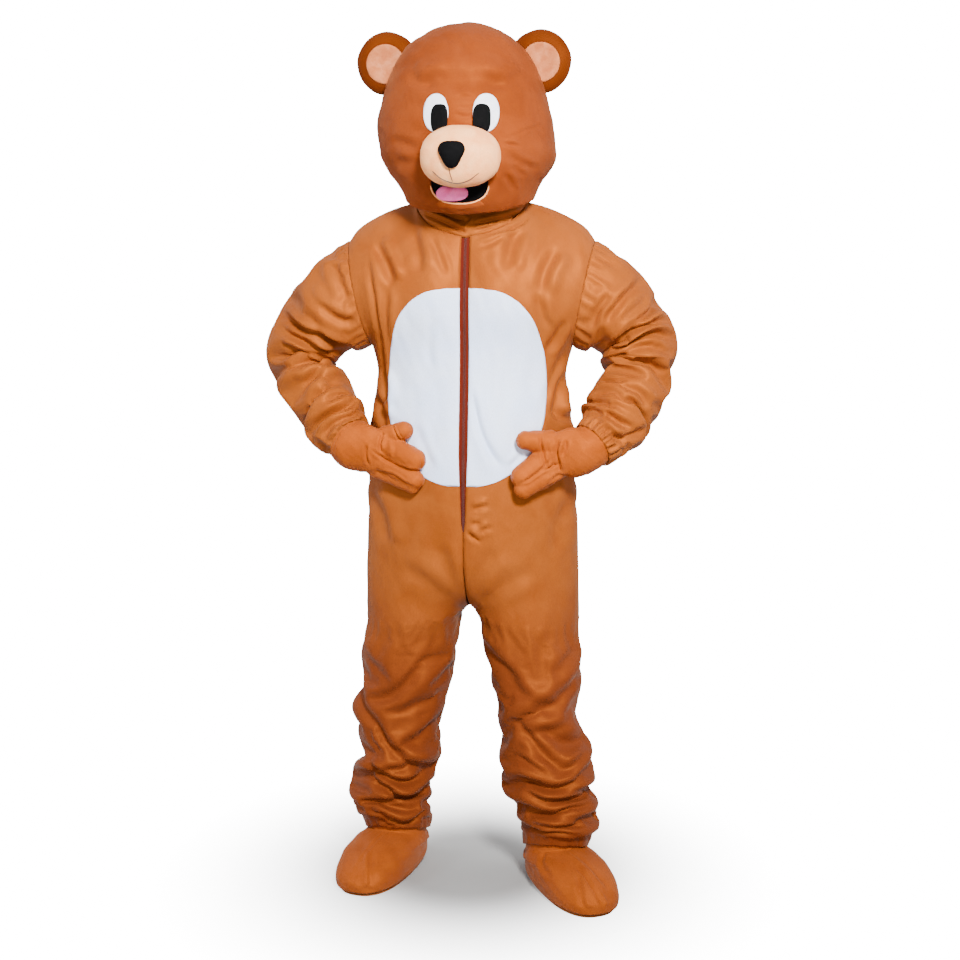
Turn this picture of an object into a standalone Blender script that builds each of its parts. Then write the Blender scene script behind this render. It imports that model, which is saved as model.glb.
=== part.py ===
"""Bear mascot costume, worn but with no wearer: head, zipped jumpsuit, mittens and boot covers.

Metres, +Z up. The costume faces -Y, and "left" is the wearer's left, at +X. The meshes are worked out
with the soles at height 0. They hang from the empty "worn", which puts the origin where the wearer
carries the suit: on the middle line, level with the two shoulder points.
"""

import math

import bmesh
import bpy
import numpy as np
from mathutils import Vector
from mathutils.bvhtree import BVHTree

# ---------------------------------------------------------------- driving dimensions, in metres
SHOULDER_HEIGHT = 1.398  # from the soles to the shoulder points
CLOTH = 0.0020  # short pile plush on a knitted backing
HEAD_SHELL = 0.0040  # plush over its foam
MITT_CLOTH = 0.0024
MITT_CUT_PAST = 0.010  # how far the hollow's cutter stands out of the cuff
BOOT_CLOTH = 0.0025
PATCH_CLOTH = 0.0014
SEAM_GAP = 0.0004  # between pieces at a seam
ARMHOLE_GAP = 0.0007
LIFT = 0.0008  # of a piece that lies on another
PATCH_SETBACK = 0.0010  # of the patch from the zip's edge
ZIP_TAPE = 0.0012
ZIP_BEHIND = 0.0012  # of the tape from the panels' inside
ZIP_UNDER = 0.0040  # the tape's width under each panel's edge
COLLAR_HEIGHT = 0.048
COLLAR_GAP = 0.0008

HEAD_AHEAD = 0.040  # the head's centre, ahead of the shoulder line
HEM_Z = 0.082  # of the trouser hem, at its middle
HEM_TILT = 0.26  # rise of the hem from heel to instep, per metre

CROTCH_START = 0.745  # the centre seams start to curve under here
CROTCH_Z = 0.590
THIGH_Z = 0.575  # where both legs are whole tubes
CROTCH_FADED_Z = 0.500  # the rows of a leg are level from here down
UNDERARM_Z = 1.172
ZIP_TOP = 1.412
ZIP_FOOT = 0.778
ZIP_HALF_GAP = 0.0085  # the zip's edges gape by twice this

PANEL_STEPS = 8  # columns of a quarter of the suit
SLEEVE_ROWS = 22
SLEEVE_STEPS = 16
HEAD_STEPS = 24
EAR_STEPS = 18
BOOT_STEPS = 16
PALM_STEPS = 12
LOBE_STEPS = 8

PLUSH_BROWN = (0.56, 0.22, 0.075)
MITT_BROWN = (0.62, 0.23, 0.065)
CREAM = (0.85, 0.66, 0.50)
EAR_PINK = (0.68, 0.40, 0.27)
WHITE = (0.74, 0.76, 0.80)
BLACK = (0.014, 0.015, 0.016)
TONGUE_PINK = (0.85, 0.36, 0.56)
ZIP_BROWN = (0.23, 0.055, 0.035)
SOLE_BROWN = (0.30, 0.11, 0.035)


# ---------------------------------------------------------------- tables
class Table:
    """Rows under named columns. at() reads a column on a smooth curve along the first one."""

    def __init__(self, names, *rows):
        self.names = names.split()
        self.rows = np.array(rows, float)

    def __iter__(self):
        return (dict(zip(self.names, row)) for row in self.rows)

    def at(self, name, where):
        """The column's value at a place along the first column, with no overshoot between rows."""
        x, y = self.rows[:, 0], self.rows[:, self.names.index(name)]
        if x[0] > x[-1]:
            x, y = x[::-1], y[::-1]
        steps, rises = np.diff(x), np.diff(y) / np.diff(x)
        slopes = np.concatenate([rises[:1], np.zeros(len(x) - 2), rises[-1:]])
        same = rises[:-1] * rises[1:] > 0
        before, after = steps[:-1] + 2 * steps[1:], 2 * steps[:-1] + steps[1:]
        with np.errstate(divide="ignore", invalid="ignore"):
            mean = (before + after) / (before / rises[:-1] + after / rises[1:])
        slopes[1:-1] = np.where(same, mean, 0.0)
        where = np.clip(where, x[0], x[-1])
        i = np.clip(np.searchsorted(x, where, side="right") - 1, 0, len(x) - 2)
        t = (where - x[i]) / steps[i]
        rise = y[i + 1] - y[i]
        return (
            y[i]
            + rise * t * t * (3 - 2 * t)
            + steps[i] * (slopes[i] * t * (1 - t) ** 2 - slopes[i + 1] * t * t * (1 - t))
        )


TORSO = Table(
    "height half_width front back",
    (1.172, 0.2215, 0.130, 0.124),
    (1.110, 0.2070, 0.134, 0.119),
    (1.055, 0.2160, 0.141, 0.119),
    (1.000, 0.2200, 0.149, 0.124),
    (0.870, 0.2300, 0.158, 0.140),
    (0.735, 0.2370, 0.155, 0.157),
    (0.590, 0.2400, 0.140, 0.150),
)

# out and ahead place a leg's axis; the widths are halves of the tube.
RIGHT_LEG = Table(
    "height out ahead half_width half_depth",
    (0.575, 0.1210, 0.000, 0.1185, 0.134),
    (0.540, 0.1290, 0.004, 0.1060, 0.127),
    (0.480, 0.1440, 0.010, 0.1040, 0.119),
    (0.425, 0.1420, 0.014, 0.0950, 0.112),
    (0.370, 0.1580, 0.018, 0.0965, 0.106),
    (0.315, 0.1690, 0.022, 0.0930, 0.102),
    (0.255, 0.1600, 0.028, 0.0860, 0.096),
    (0.200, 0.1740, 0.034, 0.0870, 0.092),
    (0.140, 0.1800, 0.042, 0.0850, 0.088),
    (0.108, 0.1740, 0.048, 0.0830, 0.085),
    (0.094, 0.1680, 0.050, 0.0750, 0.0755),
    (0.082, 0.1660, 0.051, 0.0706, 0.0706),
)
LEFT_LEG = Table(
    "height out ahead half_width half_depth",
    (0.575, 0.1220, 0.004, 0.1195, 0.134),
    (0.540, 0.1310, 0.012, 0.1080, 0.128),
    (0.480, 0.1430, 0.026, 0.1030, 0.120),
    (0.425, 0.1500, 0.040, 0.0970, 0.112),
    (0.370, 0.1530, 0.054, 0.0870, 0.105),
    (0.320, 0.1620, 0.066, 0.0870, 0.101),
    (0.262, 0.1770, 0.080, 0.1000, 0.102),
    (0.205, 0.1800, 0.092, 0.0930, 0.095),
    (0.155, 0.1990, 0.102, 0.0850, 0.088),
    (0.118, 0.2040, 0.109, 0.0800, 0.083),
    (0.096, 0.2020, 0.111, 0.0740, 0.0750),
    (0.082, 0.2000, 0.111, 0.0706, 0.0706),
)

# A fold is a ridge with a trough under it. along: metres of height, or down a sleeve. around: turns from
# the inner seam, 0.25 in front, 0.5 outside. slant: metres that it drops per turn. reach: turns.
FOLD_COLUMNS = "along around slant reach depth width"
RIGHT_LEG_FOLDS = Table(
    FOLD_COLUMNS,
    (0.520, 0.40, 0.30, 0.30, 0.005, 0.028),
    (0.455, 0.12, -0.35, 0.34, 0.006, 0.026),
    (0.400, 0.38, 0.42, 0.38, 0.009, 0.026),
    (0.352, 0.47, 0.10, 0.30, 0.012, 0.024),
    (0.330, 0.15, -0.30, 0.36, 0.008, 0.022),
    (0.292, 0.78, 0.15, 0.44, 0.009, 0.022),
    (0.262, 0.14, 0.12, 0.30, 0.012, 0.020),
    (0.236, 0.36, -0.16, 0.40, 0.013, 0.017),
    (0.205, 0.62, 0.10, 0.50, 0.011, 0.015),
    (0.184, 0.20, -0.10, 0.50, 0.011, 0.013),
    (0.160, 0.42, 0.09, 0.48, 0.010, 0.013),
    (0.150, 0.85, -0.06, 0.44, 0.009, 0.013),
    (0.130, 0.25, 0.05, 0.60, 0.008, 0.011),
    (0.118, 0.65, -0.04, 0.50, 0.007, 0.011),
)
LEFT_LEG_FOLDS = Table(
    FOLD_COLUMNS,
    (0.530, 0.12, -0.30, 0.30, 0.005, 0.028),
    (0.455, 0.36, 0.34, 0.36, 0.008, 0.028),
    (0.400, 0.20, 0.36, 0.34, 0.007, 0.024),
    (0.352, 0.38, -0.25, 0.36, 0.009, 0.024),
    (0.318, 0.74, 0.16, 0.44, 0.009, 0.022),
    (0.286, 0.44, 0.12, 0.34, 0.013, 0.022),
    (0.262, 0.18, 0.14, 0.34, 0.010, 0.020),
    (0.236, 0.40, -0.12, 0.44, 0.013, 0.017),
    (0.208, 0.22, 0.08, 0.52, 0.011, 0.015),
    (0.196, 0.76, 0.08, 0.44, 0.010, 0.014),
    (0.176, 0.38, -0.06, 0.56, 0.012, 0.013),
    (0.152, 0.20, 0.05, 0.56, 0.010, 0.012),
    (0.140, 0.70, -0.05, 0.52, 0.009, 0.012),
    (0.126, 0.42, -0.04, 0.60, 0.009, 0.011),
)
# On the torso around runs from the centre front at 0 by the side at 0.25 to the centre back at 0.5.
TORSO_FOLDS = Table(
    FOLD_COLUMNS,
    (0.985, 0.235, -0.55, 0.13, 0.007, 0.024),
    (0.925, 0.270, 0.60, 0.16, 0.006, 0.026),
    (0.850, 0.240, 0.45, 0.13, 0.004, 0.026),
    (1.020, 0.400, 0.40, 0.22, 0.007, 0.030),
    (0.690, 0.400, -0.40, 0.24, 0.008, 0.032),
)

# The middle line of a sleeve, from the armhole to the wrist, and its radius.
RIGHT_SLEEVE = Table(
    "share out ahead height radius",
    (0.00, 0.2445, 0.000, 1.2840, 0.1040),
    (0.12, 0.2860, -0.006, 1.2600, 0.0960),
    (0.24, 0.3270, -0.014, 1.2300, 0.0860),
    (0.36, 0.3640, -0.020, 1.1900, 0.0770),
    (0.46, 0.3840, -0.018, 1.1480, 0.0720),
    (0.56, 0.3720, -0.004, 1.1060, 0.0680),
    (0.68, 0.3380, 0.022, 1.0600, 0.0640),
    (0.80, 0.3010, 0.052, 1.0140, 0.0620),
    (0.89, 0.2720, 0.079, 0.9820, 0.0580),
    (0.945, 0.2570, 0.0935, 0.9680, 0.0485),
    (1.00, 0.2420, 0.106, 0.9600, 0.0480),
)
LEFT_SLEEVE = Table(
    "share out ahead height radius",
    (0.00, 0.2445, 0.000, 1.2840, 0.1040),
    (0.12, 0.2840, -0.006, 1.2620, 0.0960),
    (0.24, 0.3200, -0.014, 1.2320, 0.0860),
    (0.36, 0.3500, -0.020, 1.1930, 0.0780),
    (0.46, 0.3640, -0.018, 1.1500, 0.0740),
    (0.56, 0.3600, -0.006, 1.1080, 0.0720),
    (0.68, 0.3420, 0.020, 1.0640, 0.0710),
    (0.80, 0.3210, 0.050, 1.0240, 0.0690),
    (0.90, 0.2980, 0.078, 0.9920, 0.0620),
    (0.955, 0.2830, 0.093, 0.9780, 0.0560),
    (1.00, 0.2700, 0.104, 0.9680, 0.0520),
)
# Round a sleeve 0 is under the arm, 0.25 in front, 0.5 on top and outside.
RIGHT_SLEEVE_FOLDS = Table(
    FOLD_COLUMNS,
    (0.075, 0.30, 0.10, 0.36, 0.006, 0.020),
    (0.125, 0.16, -0.12, 0.36, 0.009, 0.018),
    (0.165, 0.20, 0.14, 0.44, 0.012, 0.016),
    (0.198, 0.08, -0.08, 0.50, 0.012, 0.014),
    (0.232, 0.20, 0.08, 0.46, 0.009, 0.014),
    (0.270, 0.32, -0.10, 0.50, 0.008, 0.016),
    (0.312, 0.18, 0.10, 0.46, 0.009, 0.015),
    (0.345, 0.80, -0.10, 0.50, 0.007, 0.014),
    (0.368, 0.34, 0.06, 0.60, 0.008, 0.012),
    (0.395, 0.05, -0.05, 0.60, 0.008, 0.011),
)
LEFT_SLEEVE_FOLDS = Table(
    FOLD_COLUMNS,
    (0.080, 0.26, -0.12, 0.36, 0.007, 0.020),
    (0.120, 0.34, 0.12, 0.34, 0.008, 0.017),
    (0.150, 0.16, -0.14, 0.44, 0.011, 0.015),
    (0.180, 0.24, 0.10, 0.46, 0.012, 0.014),
    (0.208, 0.10, -0.06, 0.50, 0.011, 0.013),
    (0.250, 0.30, 0.12, 0.40, 0.008, 0.015),
    (0.290, 0.78, -0.10, 0.46, 0.007, 0.015),
    (0.318, 0.20, -0.12, 0.50, 0.009, 0.014),
    (0.348, 0.36, 0.08, 0.50, 0.008, 0.012),
    (0.372, 0.08, 0.05, 0.60, 0.008, 0.011),
)

HEAD = Table(
    "down height out half_width front back chin",
    (0.00, 1.852, -0.006, 0.000, 0.000, 0.000, 0.000),
    (0.06, 1.843, -0.007, 0.046, 0.044, 0.046, 0.000),
    (0.12, 1.826, -0.009, 0.087, 0.082, 0.088, 0.000),
    (0.20, 1.796, -0.010, 0.125, 0.117, 0.125, 0.000),
    (0.30, 1.750, -0.010, 0.154, 0.146, 0.158, 0.000),
    (0.42, 1.690, -0.010, 0.176, 0.166, 0.182, 0.000),
    (0.54, 1.625, -0.008, 0.188, 0.176, 0.192, 0.000),
    (0.64, 1.582, -0.003, 0.188, 0.178, 0.190, 0.000),
    (0.73, 1.548, -0.001, 0.175, 0.174, 0.182, 0.004),
    (0.82, 1.520, -0.001, 0.154, 0.163, 0.168, 0.014),
    (0.91, 1.497, 0.001, 0.141, 0.147, 0.156, 0.026),
    (1.00, 1.4822, 0.002, 0.1355, 0.123, 0.150, 0.034),
)

# The boot cover, in its foot's own directions from the ankle. tilt: rise per metre towards the toe.
BOOT = Table(
    "down height tilt toe heel half_width blunt",
    (0.00, 0.1200, 0.26, 0.0658, 0.0658, 0.0658, 1.00),
    (0.22, 0.0715, 0.26, 0.0667, 0.0667, 0.0667, 1.00),
    (0.29, 0.0645, 0.26, 0.0800, 0.0690, 0.0720, 0.98),
    (0.38, 0.0610, 0.19, 0.1120, 0.0740, 0.0780, 0.94),
    (0.50, 0.0570, 0.12, 0.1560, 0.0790, 0.0800, 0.90),
    (0.63, 0.0510, 0.06, 0.1970, 0.0820, 0.0810, 0.86),
    (0.74, 0.0410, 0.02, 0.2230, 0.0840, 0.0820, 0.83),
    (0.85, 0.0270, 0.00, 0.2350, 0.0850, 0.0820, 0.82),
    (0.93, 0.0130, 0.00, 0.2350, 0.0840, 0.0800, 0.82),
    (1.00, 0.0042, 0.00, 0.2260, 0.0780, 0.0730, 0.82),
)
# Where each foot stands, how far it is turned out in degrees, and which side it is on.
RIGHT_FOOT = {"side": -1, "out": 0.166, "ahead": 0.051, "turned": 14.5}
LEFT_FOOT = {"side": 1, "out": 0.200, "ahead": 0.111, "turned": 28.5}

# Each row is a round-ended tube of a mitten, from its root to its tip. The palm is wider than it is deep.
LOBE_COLUMNS = "out ahead height tip_out tip_ahead tip_height root_radius tip_radius"
RIGHT_MITT = Table(
    LOBE_COLUMNS,
    (0.188, 0.1330, 0.966, 0.099, 0.1640, 0.929, 0.0200, 0.0180),
    (0.194, 0.1280, 0.940, 0.106, 0.1600, 0.901, 0.0190, 0.0175),
    (0.196, 0.1180, 0.919, 0.112, 0.1535, 0.884, 0.0160, 0.0150),
    (0.190, 0.1290, 0.986, 0.121, 0.1500, 1.013, 0.0220, 0.0175),
)
LEFT_MITT = Table(
    LOBE_COLUMNS,
    (0.205, 0.1300, 0.958, 0.130, 0.1600, 0.919, 0.0240, 0.0200),
    (0.215, 0.1270, 0.930, 0.141, 0.1560, 0.890, 0.0215, 0.0190),
    (0.206, 0.1120, 0.914, 0.165, 0.1350, 0.888, 0.0160, 0.0140),
    (0.207, 0.1290, 0.980, 0.138, 0.1480, 0.990, 0.0245, 0.0170),
)
# The palms, from the cuff to the knuckles: half the height across the hand, then half the thickness.
PALM_COLUMNS = "down out ahead height across deep"
RIGHT_PALM = Table(
    PALM_COLUMNS,
    (0.00, 0.2520, 0.0975, 0.9655, 0.0535, 0.0535),
    (0.14, 0.2420, 0.1060, 0.9600, 0.0545, 0.0535),
    (0.34, 0.2270, 0.1160, 0.9580, 0.0545, 0.0460),
    (0.56, 0.2110, 0.1250, 0.9550, 0.0520, 0.0350),
    (0.76, 0.1950, 0.1320, 0.9500, 0.0490, 0.0270),
    (0.90, 0.1790, 0.1375, 0.9450, 0.0440, 0.0220),
    (1.00, 0.1700, 0.1400, 0.9420, 0.0340, 0.0150),
)
LEFT_PALM = Table(
    PALM_COLUMNS,
    (0.00, 0.2790, 0.0965, 0.9748, 0.0497, 0.0497),
    (0.18, 0.2620, 0.1100, 0.9615, 0.0475, 0.0466),
    (0.40, 0.2455, 0.1185, 0.9560, 0.0525, 0.0430),
    (0.60, 0.2310, 0.1235, 0.9545, 0.0540, 0.0370),
    (0.78, 0.2160, 0.1285, 0.9530, 0.0510, 0.0290),
    (0.92, 0.2000, 0.1340, 0.9480, 0.0450, 0.0230),
    (1.00, 0.1910, 0.1365, 0.9450, 0.0340, 0.0150),
)

# Half of the belly patch: its edge's distance from the middle line.
PATCH_TOP = 1.300
PATCH_FOOT = 0.881
PATCH = Table(
    "height out",
    (1.2995, 0.034),
    (1.2960, 0.064),
    (1.2840, 0.096),
    (1.2620, 0.124),
    (1.2330, 0.145),
    (1.1950, 0.158),
    (1.1450, 0.168),
    (1.0900, 0.171),
    (1.0350, 0.169),
    (0.9900, 0.160),
    (0.9540, 0.144),
    (0.9240, 0.121),
    (0.9020, 0.091),
    (0.8880, 0.060),
    (0.8820, 0.032),
)

# The face, on the head's middle line unless out is given.
EAR = {"out": 0.163, "ahead": 0.020, "height": 1.771, "radius": 0.066, "half_depth": 0.019}
EAR_LINING = {"out": 0.002, "height": -0.003, "radius": 0.041, "stands": 0.003}
EYE = {"out": 0.0500, "height": 1.6520, "half_width": 0.0260, "half_height": 0.0380}
PUPIL = {"out": 0.0415, "height": 1.6400, "half_width": 0.0172, "half_height": 0.0280}
MUZZLE = {"height": 1.567, "half_width": 0.0825, "half_height": 0.0630, "stands": 0.066}
NOSE = {"height": 1.569, "half_width": 0.0265, "half_height": 0.0260, "stands": 0.014}
MOUTH = {"out": -0.001, "half_width": 0.0600, "top": 1.5400, "corner": 1.5150, "bottom": 1.4730}
TONGUE = {
    "out": -0.014,
    "height": 1.4910,
    "half_width": 0.0310,
    "half_height": 0.0135,
    "stands": 0.016,
    "sunk": 0.008,
    "foot": 0.0102,
}
MOUTH_DEPTH = 0.024
HEAD_CENTRE = np.array([-0.004, -HEAD_AHEAD, 1.62])
FACE_OUT = 0.004  # the face's middle line, off the suit's
EARS_OUT = -0.0155  # the middle between the ears, off the suit's
EYE_PAD = 0.0030
PUPIL_PAD = 0.0020
LINING = 0.0015
LINING_GROWN = 1.10  # of the mouth's own outline, so that its edge is behind the head's shell
RIM_GROWN = 1.03
RIM_RADIUS = 0.0016
MUZZLE_LIFT = 0.0022
LINING_LIFT = 0.0016
SOLE = 0.0036

# The neck seam of one side, from the centre front round to the centre back.
NECK = Table(
    "turn out ahead height",
    (0.00, 0.0000, 0.108, 1.4075),
    (0.16, 0.0500, 0.101, 1.4190),
    (0.32, 0.0930, 0.070, 1.4420),
    (0.46, 0.1180, 0.020, 1.4720),
    (0.56, 0.1200, -0.015, 1.4840),
    (0.72, 0.0880, -0.062, 1.4830),
    (0.86, 0.0470, -0.084, 1.4800),
    (1.00, 0.0000, -0.092, 1.4790),
)
NECK_SIDE = 0.53  # the turn at which the shoulder seam meets the neck seam
NECK_SHARE = 0.45  # of a panel's upper edge that is neck seam
NECK_STEPS = 3
SHOULDER = Table(
    "share out height",
    (0.00, 0.1205, 1.4815),
    (0.28, 0.1620, 1.4700),
    (0.58, 0.2070, 1.4510),
    (0.85, 0.2500, 1.4235),
    (1.00, 0.2680, 1.3980),
)
ARMHOLE_CENTRE = np.array([0.2445, 0.0, 1.2850])
ARMHOLE_UP = np.array([0.0235, 0.0, 0.1130])
ARMHOLE_DEPTH = 0.093


# ---------------------------------------------------------------- small geometry
def ease(t):
    t = np.clip(t, 0.0, 1.0)
    return t * t * (3 - 2 * t)


def unit(vectors):
    return vectors / np.maximum(np.linalg.norm(vectors, axis=-1, keepdims=True), 1e-12)


def grid_normals(points, ring):
    """Outward normals of a grid of points whose columns run round the piece, as a closed ring or not."""
    down = np.gradient(points, axis=0)
    if ring:
        across = (np.roll(points, -1, axis=1) - np.roll(points, 1, axis=1)) / 2
    else:
        across = np.gradient(points, axis=1)
    return unit(np.cross(down, across))


def fold_heights(folds, along, around):
    """How far the folds lift a surface at each place."""
    lifted = np.zeros(np.broadcast(along, around).shape)
    for fold in folds:
        turn = (around - fold["around"] + 0.5) % 1.0 - 0.5
        across = (along - fold["along"] - fold["slant"] * turn) / fold["width"]
        window = np.cos(np.clip(turn / fold["reach"], -0.5, 0.5) * math.pi) ** 2
        ridge = np.exp(-(across**2)) - 0.7 * np.exp(-((1.5 * (across + 1.35)) ** 2))
        lifted += fold["depth"] * window * ridge
    return lifted


def material(name, colour, roughness):
    made = bpy.data.materials.get(name) or bpy.data.materials.new(name)
    made.use_nodes = True
    shader = made.node_tree.nodes["Principled BSDF"]
    shader.inputs["Base Color"].default_value = (*colour, 1.0)
    shader.inputs["Roughness"].default_value = roughness
    shader.inputs["Metallic"].default_value = 0.0
    made.diffuse_color = (*colour, 1.0)
    return made


def finish(name, built, finish_material, parent):
    """Turns a bmesh into a named, smooth shaded object that hangs from its parent."""
    mesh = bpy.data.meshes.new(name)
    bmesh.ops.remove_doubles(built, verts=built.verts, dist=1e-6)
    built.normal_update()
    built.to_mesh(mesh)
    built.free()
    mesh.materials.append(finish_material)
    mesh.shade_smooth()
    mesh.set_sharp_from_angle(angle=math.radians(40))
    made = bpy.data.objects.new(name, mesh)
    bpy.context.scene.collection.objects.link(made)
    made.parent = parent
    return made


def wall(outer, inner, ring, pole=False):
    """A closed wall between two like grids of points. With a pole, each grid's first row is one point."""
    built = bmesh.new()
    rows, columns = outer.shape[:2]
    skins = [
        [[built.verts.new(point) for point in row] for row in grid] for grid in (outer, inner)
    ]
    cells = columns if ring else columns - 1
    for skin, turned in zip(skins, (False, True)):
        for i in range(rows - 1):
            for j in range(cells):
                k = (j + 1) % columns
                corner, across = skin[i][j], skin[i + 1][k]
                for other in ([skin[i + 1][j], across], [across, skin[i][k]]):
                    face = [corner, *other]
                    built.faces.new(face[::-1] if turned else face)
    front, back = skins
    for j in range(cells):
        k = (j + 1) % columns
        if not pole:
            built.faces.new([back[0][j], front[0][j], front[0][k], back[0][k]])
        built.faces.new([front[-1][j], back[-1][j], back[-1][k], front[-1][k]])
    if not ring:
        for i in range(rows - 1):
            built.faces.new([front[i][0], back[i][0], back[i + 1][0], front[i + 1][0]])
            built.faces.new([back[i][-1], front[i][-1], front[i + 1][-1], back[i + 1][-1]])
    return built


def tree_of(points, ring=False):
    """A search tree of a grid's faces, for laying pieces on it."""
    rows, columns = points.shape[:2]
    faces = [
        (i * columns + j, (i + 1) * columns + j, (i + 1) * columns + k, i * columns + k)
        for i in range(rows - 1)
        for j in range(columns if ring else columns - 1)
        for k in [(j + 1) % columns]
    ]
    return BVHTree.FromPolygons([tuple(point) for point in points.reshape(-1, 3)], faces)


def lay(tree, x, z, middle):
    """The point of a surface straight behind (x, z), and the direction out of the piece there."""
    hit = tree.ray_cast(Vector((x, -1.0, z)), Vector((0.0, 1.0, 0.0)))[0]
    place = np.array(hit if hit is not None else (x, 0.0, z))
    return place, unit(place - middle)


def pad(tree, middle, centre, outline, rings, spokes, front, back=lambda share: LIFT):
    """A closed pad on a surface. front(share) and back(share) are its two faces' heights over it.

    outline(angle) gives (x, z) from the centre; share runs from 0 there to 1 at the edge."""
    built = bmesh.new()
    skins = []
    for height in (front, back):
        skin = []
        for ring in range(rings + 1):
            share = ring / rings
            row = []
            for spoke in range(spokes if ring else 1):
                dx, dz = outline(2 * math.pi * spoke / spokes)
                place, out = lay(tree, centre[0] + share * dx, centre[1] + share * dz, middle)
                row.append(built.verts.new(place + out * height(share)))
            skin.append(row)
        skins.append(skin)
    close_pad(built, skins)
    return built


def close_pad(built, skins):
    """Faces between the rings of two skins that share their number of spokes, and round their edge."""
    spokes = len(skins[0][-1])
    for skin, turned in zip(skins, (False, True)):
        for spoke in range(spokes):
            after = (spoke + 1) % spokes
            faces = [[skin[0][0], skin[1][after], skin[1][spoke]]]
            for inside, outside in zip(skin[1:-1], skin[2:]):
                faces.append([inside[spoke], inside[after], outside[after], outside[spoke]])
            for face in faces:
                built.faces.new(face[::-1] if turned else face)
    front, back = skins[0][-1], skins[1][-1]
    for spoke in range(spokes):
        after = (spoke + 1) % spokes
        built.faces.new([front[spoke], front[after], back[after], back[spoke]])
    bmesh.ops.recalc_face_normals(built, faces=built.faces)


def dome(stands, edge=0.0015, power=2.4, lift=LIFT):
    """A pad's rounded front, which stands this high in the middle and a little at its edge."""

    def height(share):
        return lift + edge + (stands - edge) * math.sqrt(max(1 - share**power, 0.0))

    return height


def oval(half_width, half_height, square=1.0):
    """An ellipse as an outline for pad(); square below 1 fills its corners."""

    def outline(angle):
        c, s = math.cos(angle), math.sin(angle)
        return (
            half_width * math.copysign(abs(c) ** square, c),
            half_height * math.copysign(abs(s) ** square, s),
        )

    return outline


def cut(target, cutter, operation="DIFFERENCE"):
    """Adds a Boolean whose other object stays out of the render."""
    cutter.hide_render = True
    cutter.display_type = "WIRE"
    step = target.modifiers.new(cutter.name, "BOOLEAN")
    step.object = cutter
    step.operation = operation
    step.solver = "EXACT"


# ---------------------------------------------------------------- the jumpsuit's body
def zip_half_gap(height):
    """Half of the gap between the front panels, which closes below the zip."""
    closed = ease((height - ZIP_FOOT) / 0.11)
    return SEAM_GAP / 2 + ZIP_HALF_GAP * closed


def armhole(turn, front):
    """A point of the armhole: turn 0 under the arm, 1 at the shoulder point."""
    ahead = ARMHOLE_DEPTH * math.sin(math.pi * turn) * (1 if front else -1)
    return ARMHOLE_CENTRE - ARMHOLE_UP * math.cos(math.pi * turn) + np.array([0, -ahead, 0])


def neck_point(turn):
    out, ahead, height = (NECK.at(name, turn) for name in ("out", "ahead", "height"))
    return np.array([float(out), -float(ahead), float(height)])


def yoke(u, v, front):
    """The body above the underarms, as a patch between its four edges: u from the centre, v upwards."""
    sign = -1 if front else 1
    depth = TORSO.at("front" if front else "back", UNDERARM_Z)
    width = TORSO.at("half_width", UNDERARM_Z)

    def bottom(u):
        turn = u * math.pi / 2
        return np.array([width * math.sin(turn), sign * depth * math.cos(turn), UNDERARM_Z])

    def top(u):
        if u < NECK_SHARE:
            turn = NECK_SIDE * u / NECK_SHARE
            return neck_point(turn if front else 1 - (1 - NECK_SIDE) * u / NECK_SHARE)
        share = (u - NECK_SHARE) / (1 - NECK_SHARE)
        join = neck_point(NECK_SIDE)[1] * (1 - ease(share * 2))
        return np.array([SHOULDER.at("out", share), join, SHOULDER.at("height", share)])

    def centre(v):
        low, high = bottom(0), top(0)
        return low + (high - low) * v + np.array([0, sign * 0.012 * math.sin(math.pi * v), 0])

    corners = (
        (1 - u) * (1 - v) * bottom(0)
        + u * (1 - v) * bottom(1)
        + (1 - u) * v * top(0)
        + u * v * top(1)
    )
    point = (
        (1 - v) * bottom(u)
        + v * top(u)
        + (1 - u) * centre(v)
        + u * armhole(v, front)
        - corners
    )
    swell = 0.020 * math.sin(math.pi * min(u * 1.05, 1)) * math.sin(math.pi * v)
    return point + np.array([0, sign * swell, 0])


def body_row(height, leg, front, u):
    """A row of the body or leg below the underarms; u runs from the centre or inseam to the side."""
    sign = -1 if front else 1
    across = u * math.pi / 2
    width = TORSO.at("half_width", height)
    depth = TORSO.at("front" if front else "back", max(height, CROTCH_START))
    torso = np.stack(
        [width * np.sin(across), sign * depth * np.cos(across), np.full(len(u), height)], axis=1
    )
    level = min(height, THIGH_Z)
    out, ahead, half_width, half_depth = (leg.at(name, level) for name in leg.names[1:])
    round_it = u * math.pi
    tube = np.stack(
        [
            out - half_width * np.cos(round_it),
            -ahead + sign * half_depth * np.sin(round_it),
            np.full(len(u), height),
        ],
        axis=1,
    )
    share = np.clip((CROTCH_START - height) / (CROTCH_START - THIGH_Z), 0, 1)
    turned = share * math.pi / 2
    row = torso * math.cos(turned) + tube * (1 - math.cos(turned))
    if share > 0:
        seam = CROTCH_START - (CROTCH_START - CROTCH_Z) * math.sin(turned)
        kept = np.clip((height - CROTCH_FADED_Z) / (THIGH_Z - CROTCH_FADED_Z), 0, 1)
        row[:, 2] += (seam - height) * kept * (1 - ease(u * 1.4))
    return row


def hem(row, leg):
    """Tilts the last rows of a leg so that the hem rises over the instep."""
    ahead = leg.at("ahead", HEM_Z)
    near = ease((0.22 - row[:, 2]) / 0.12)
    row[:, 2] += near * HEM_TILT * (-(row[:, 1] + ahead))
    return row


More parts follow.
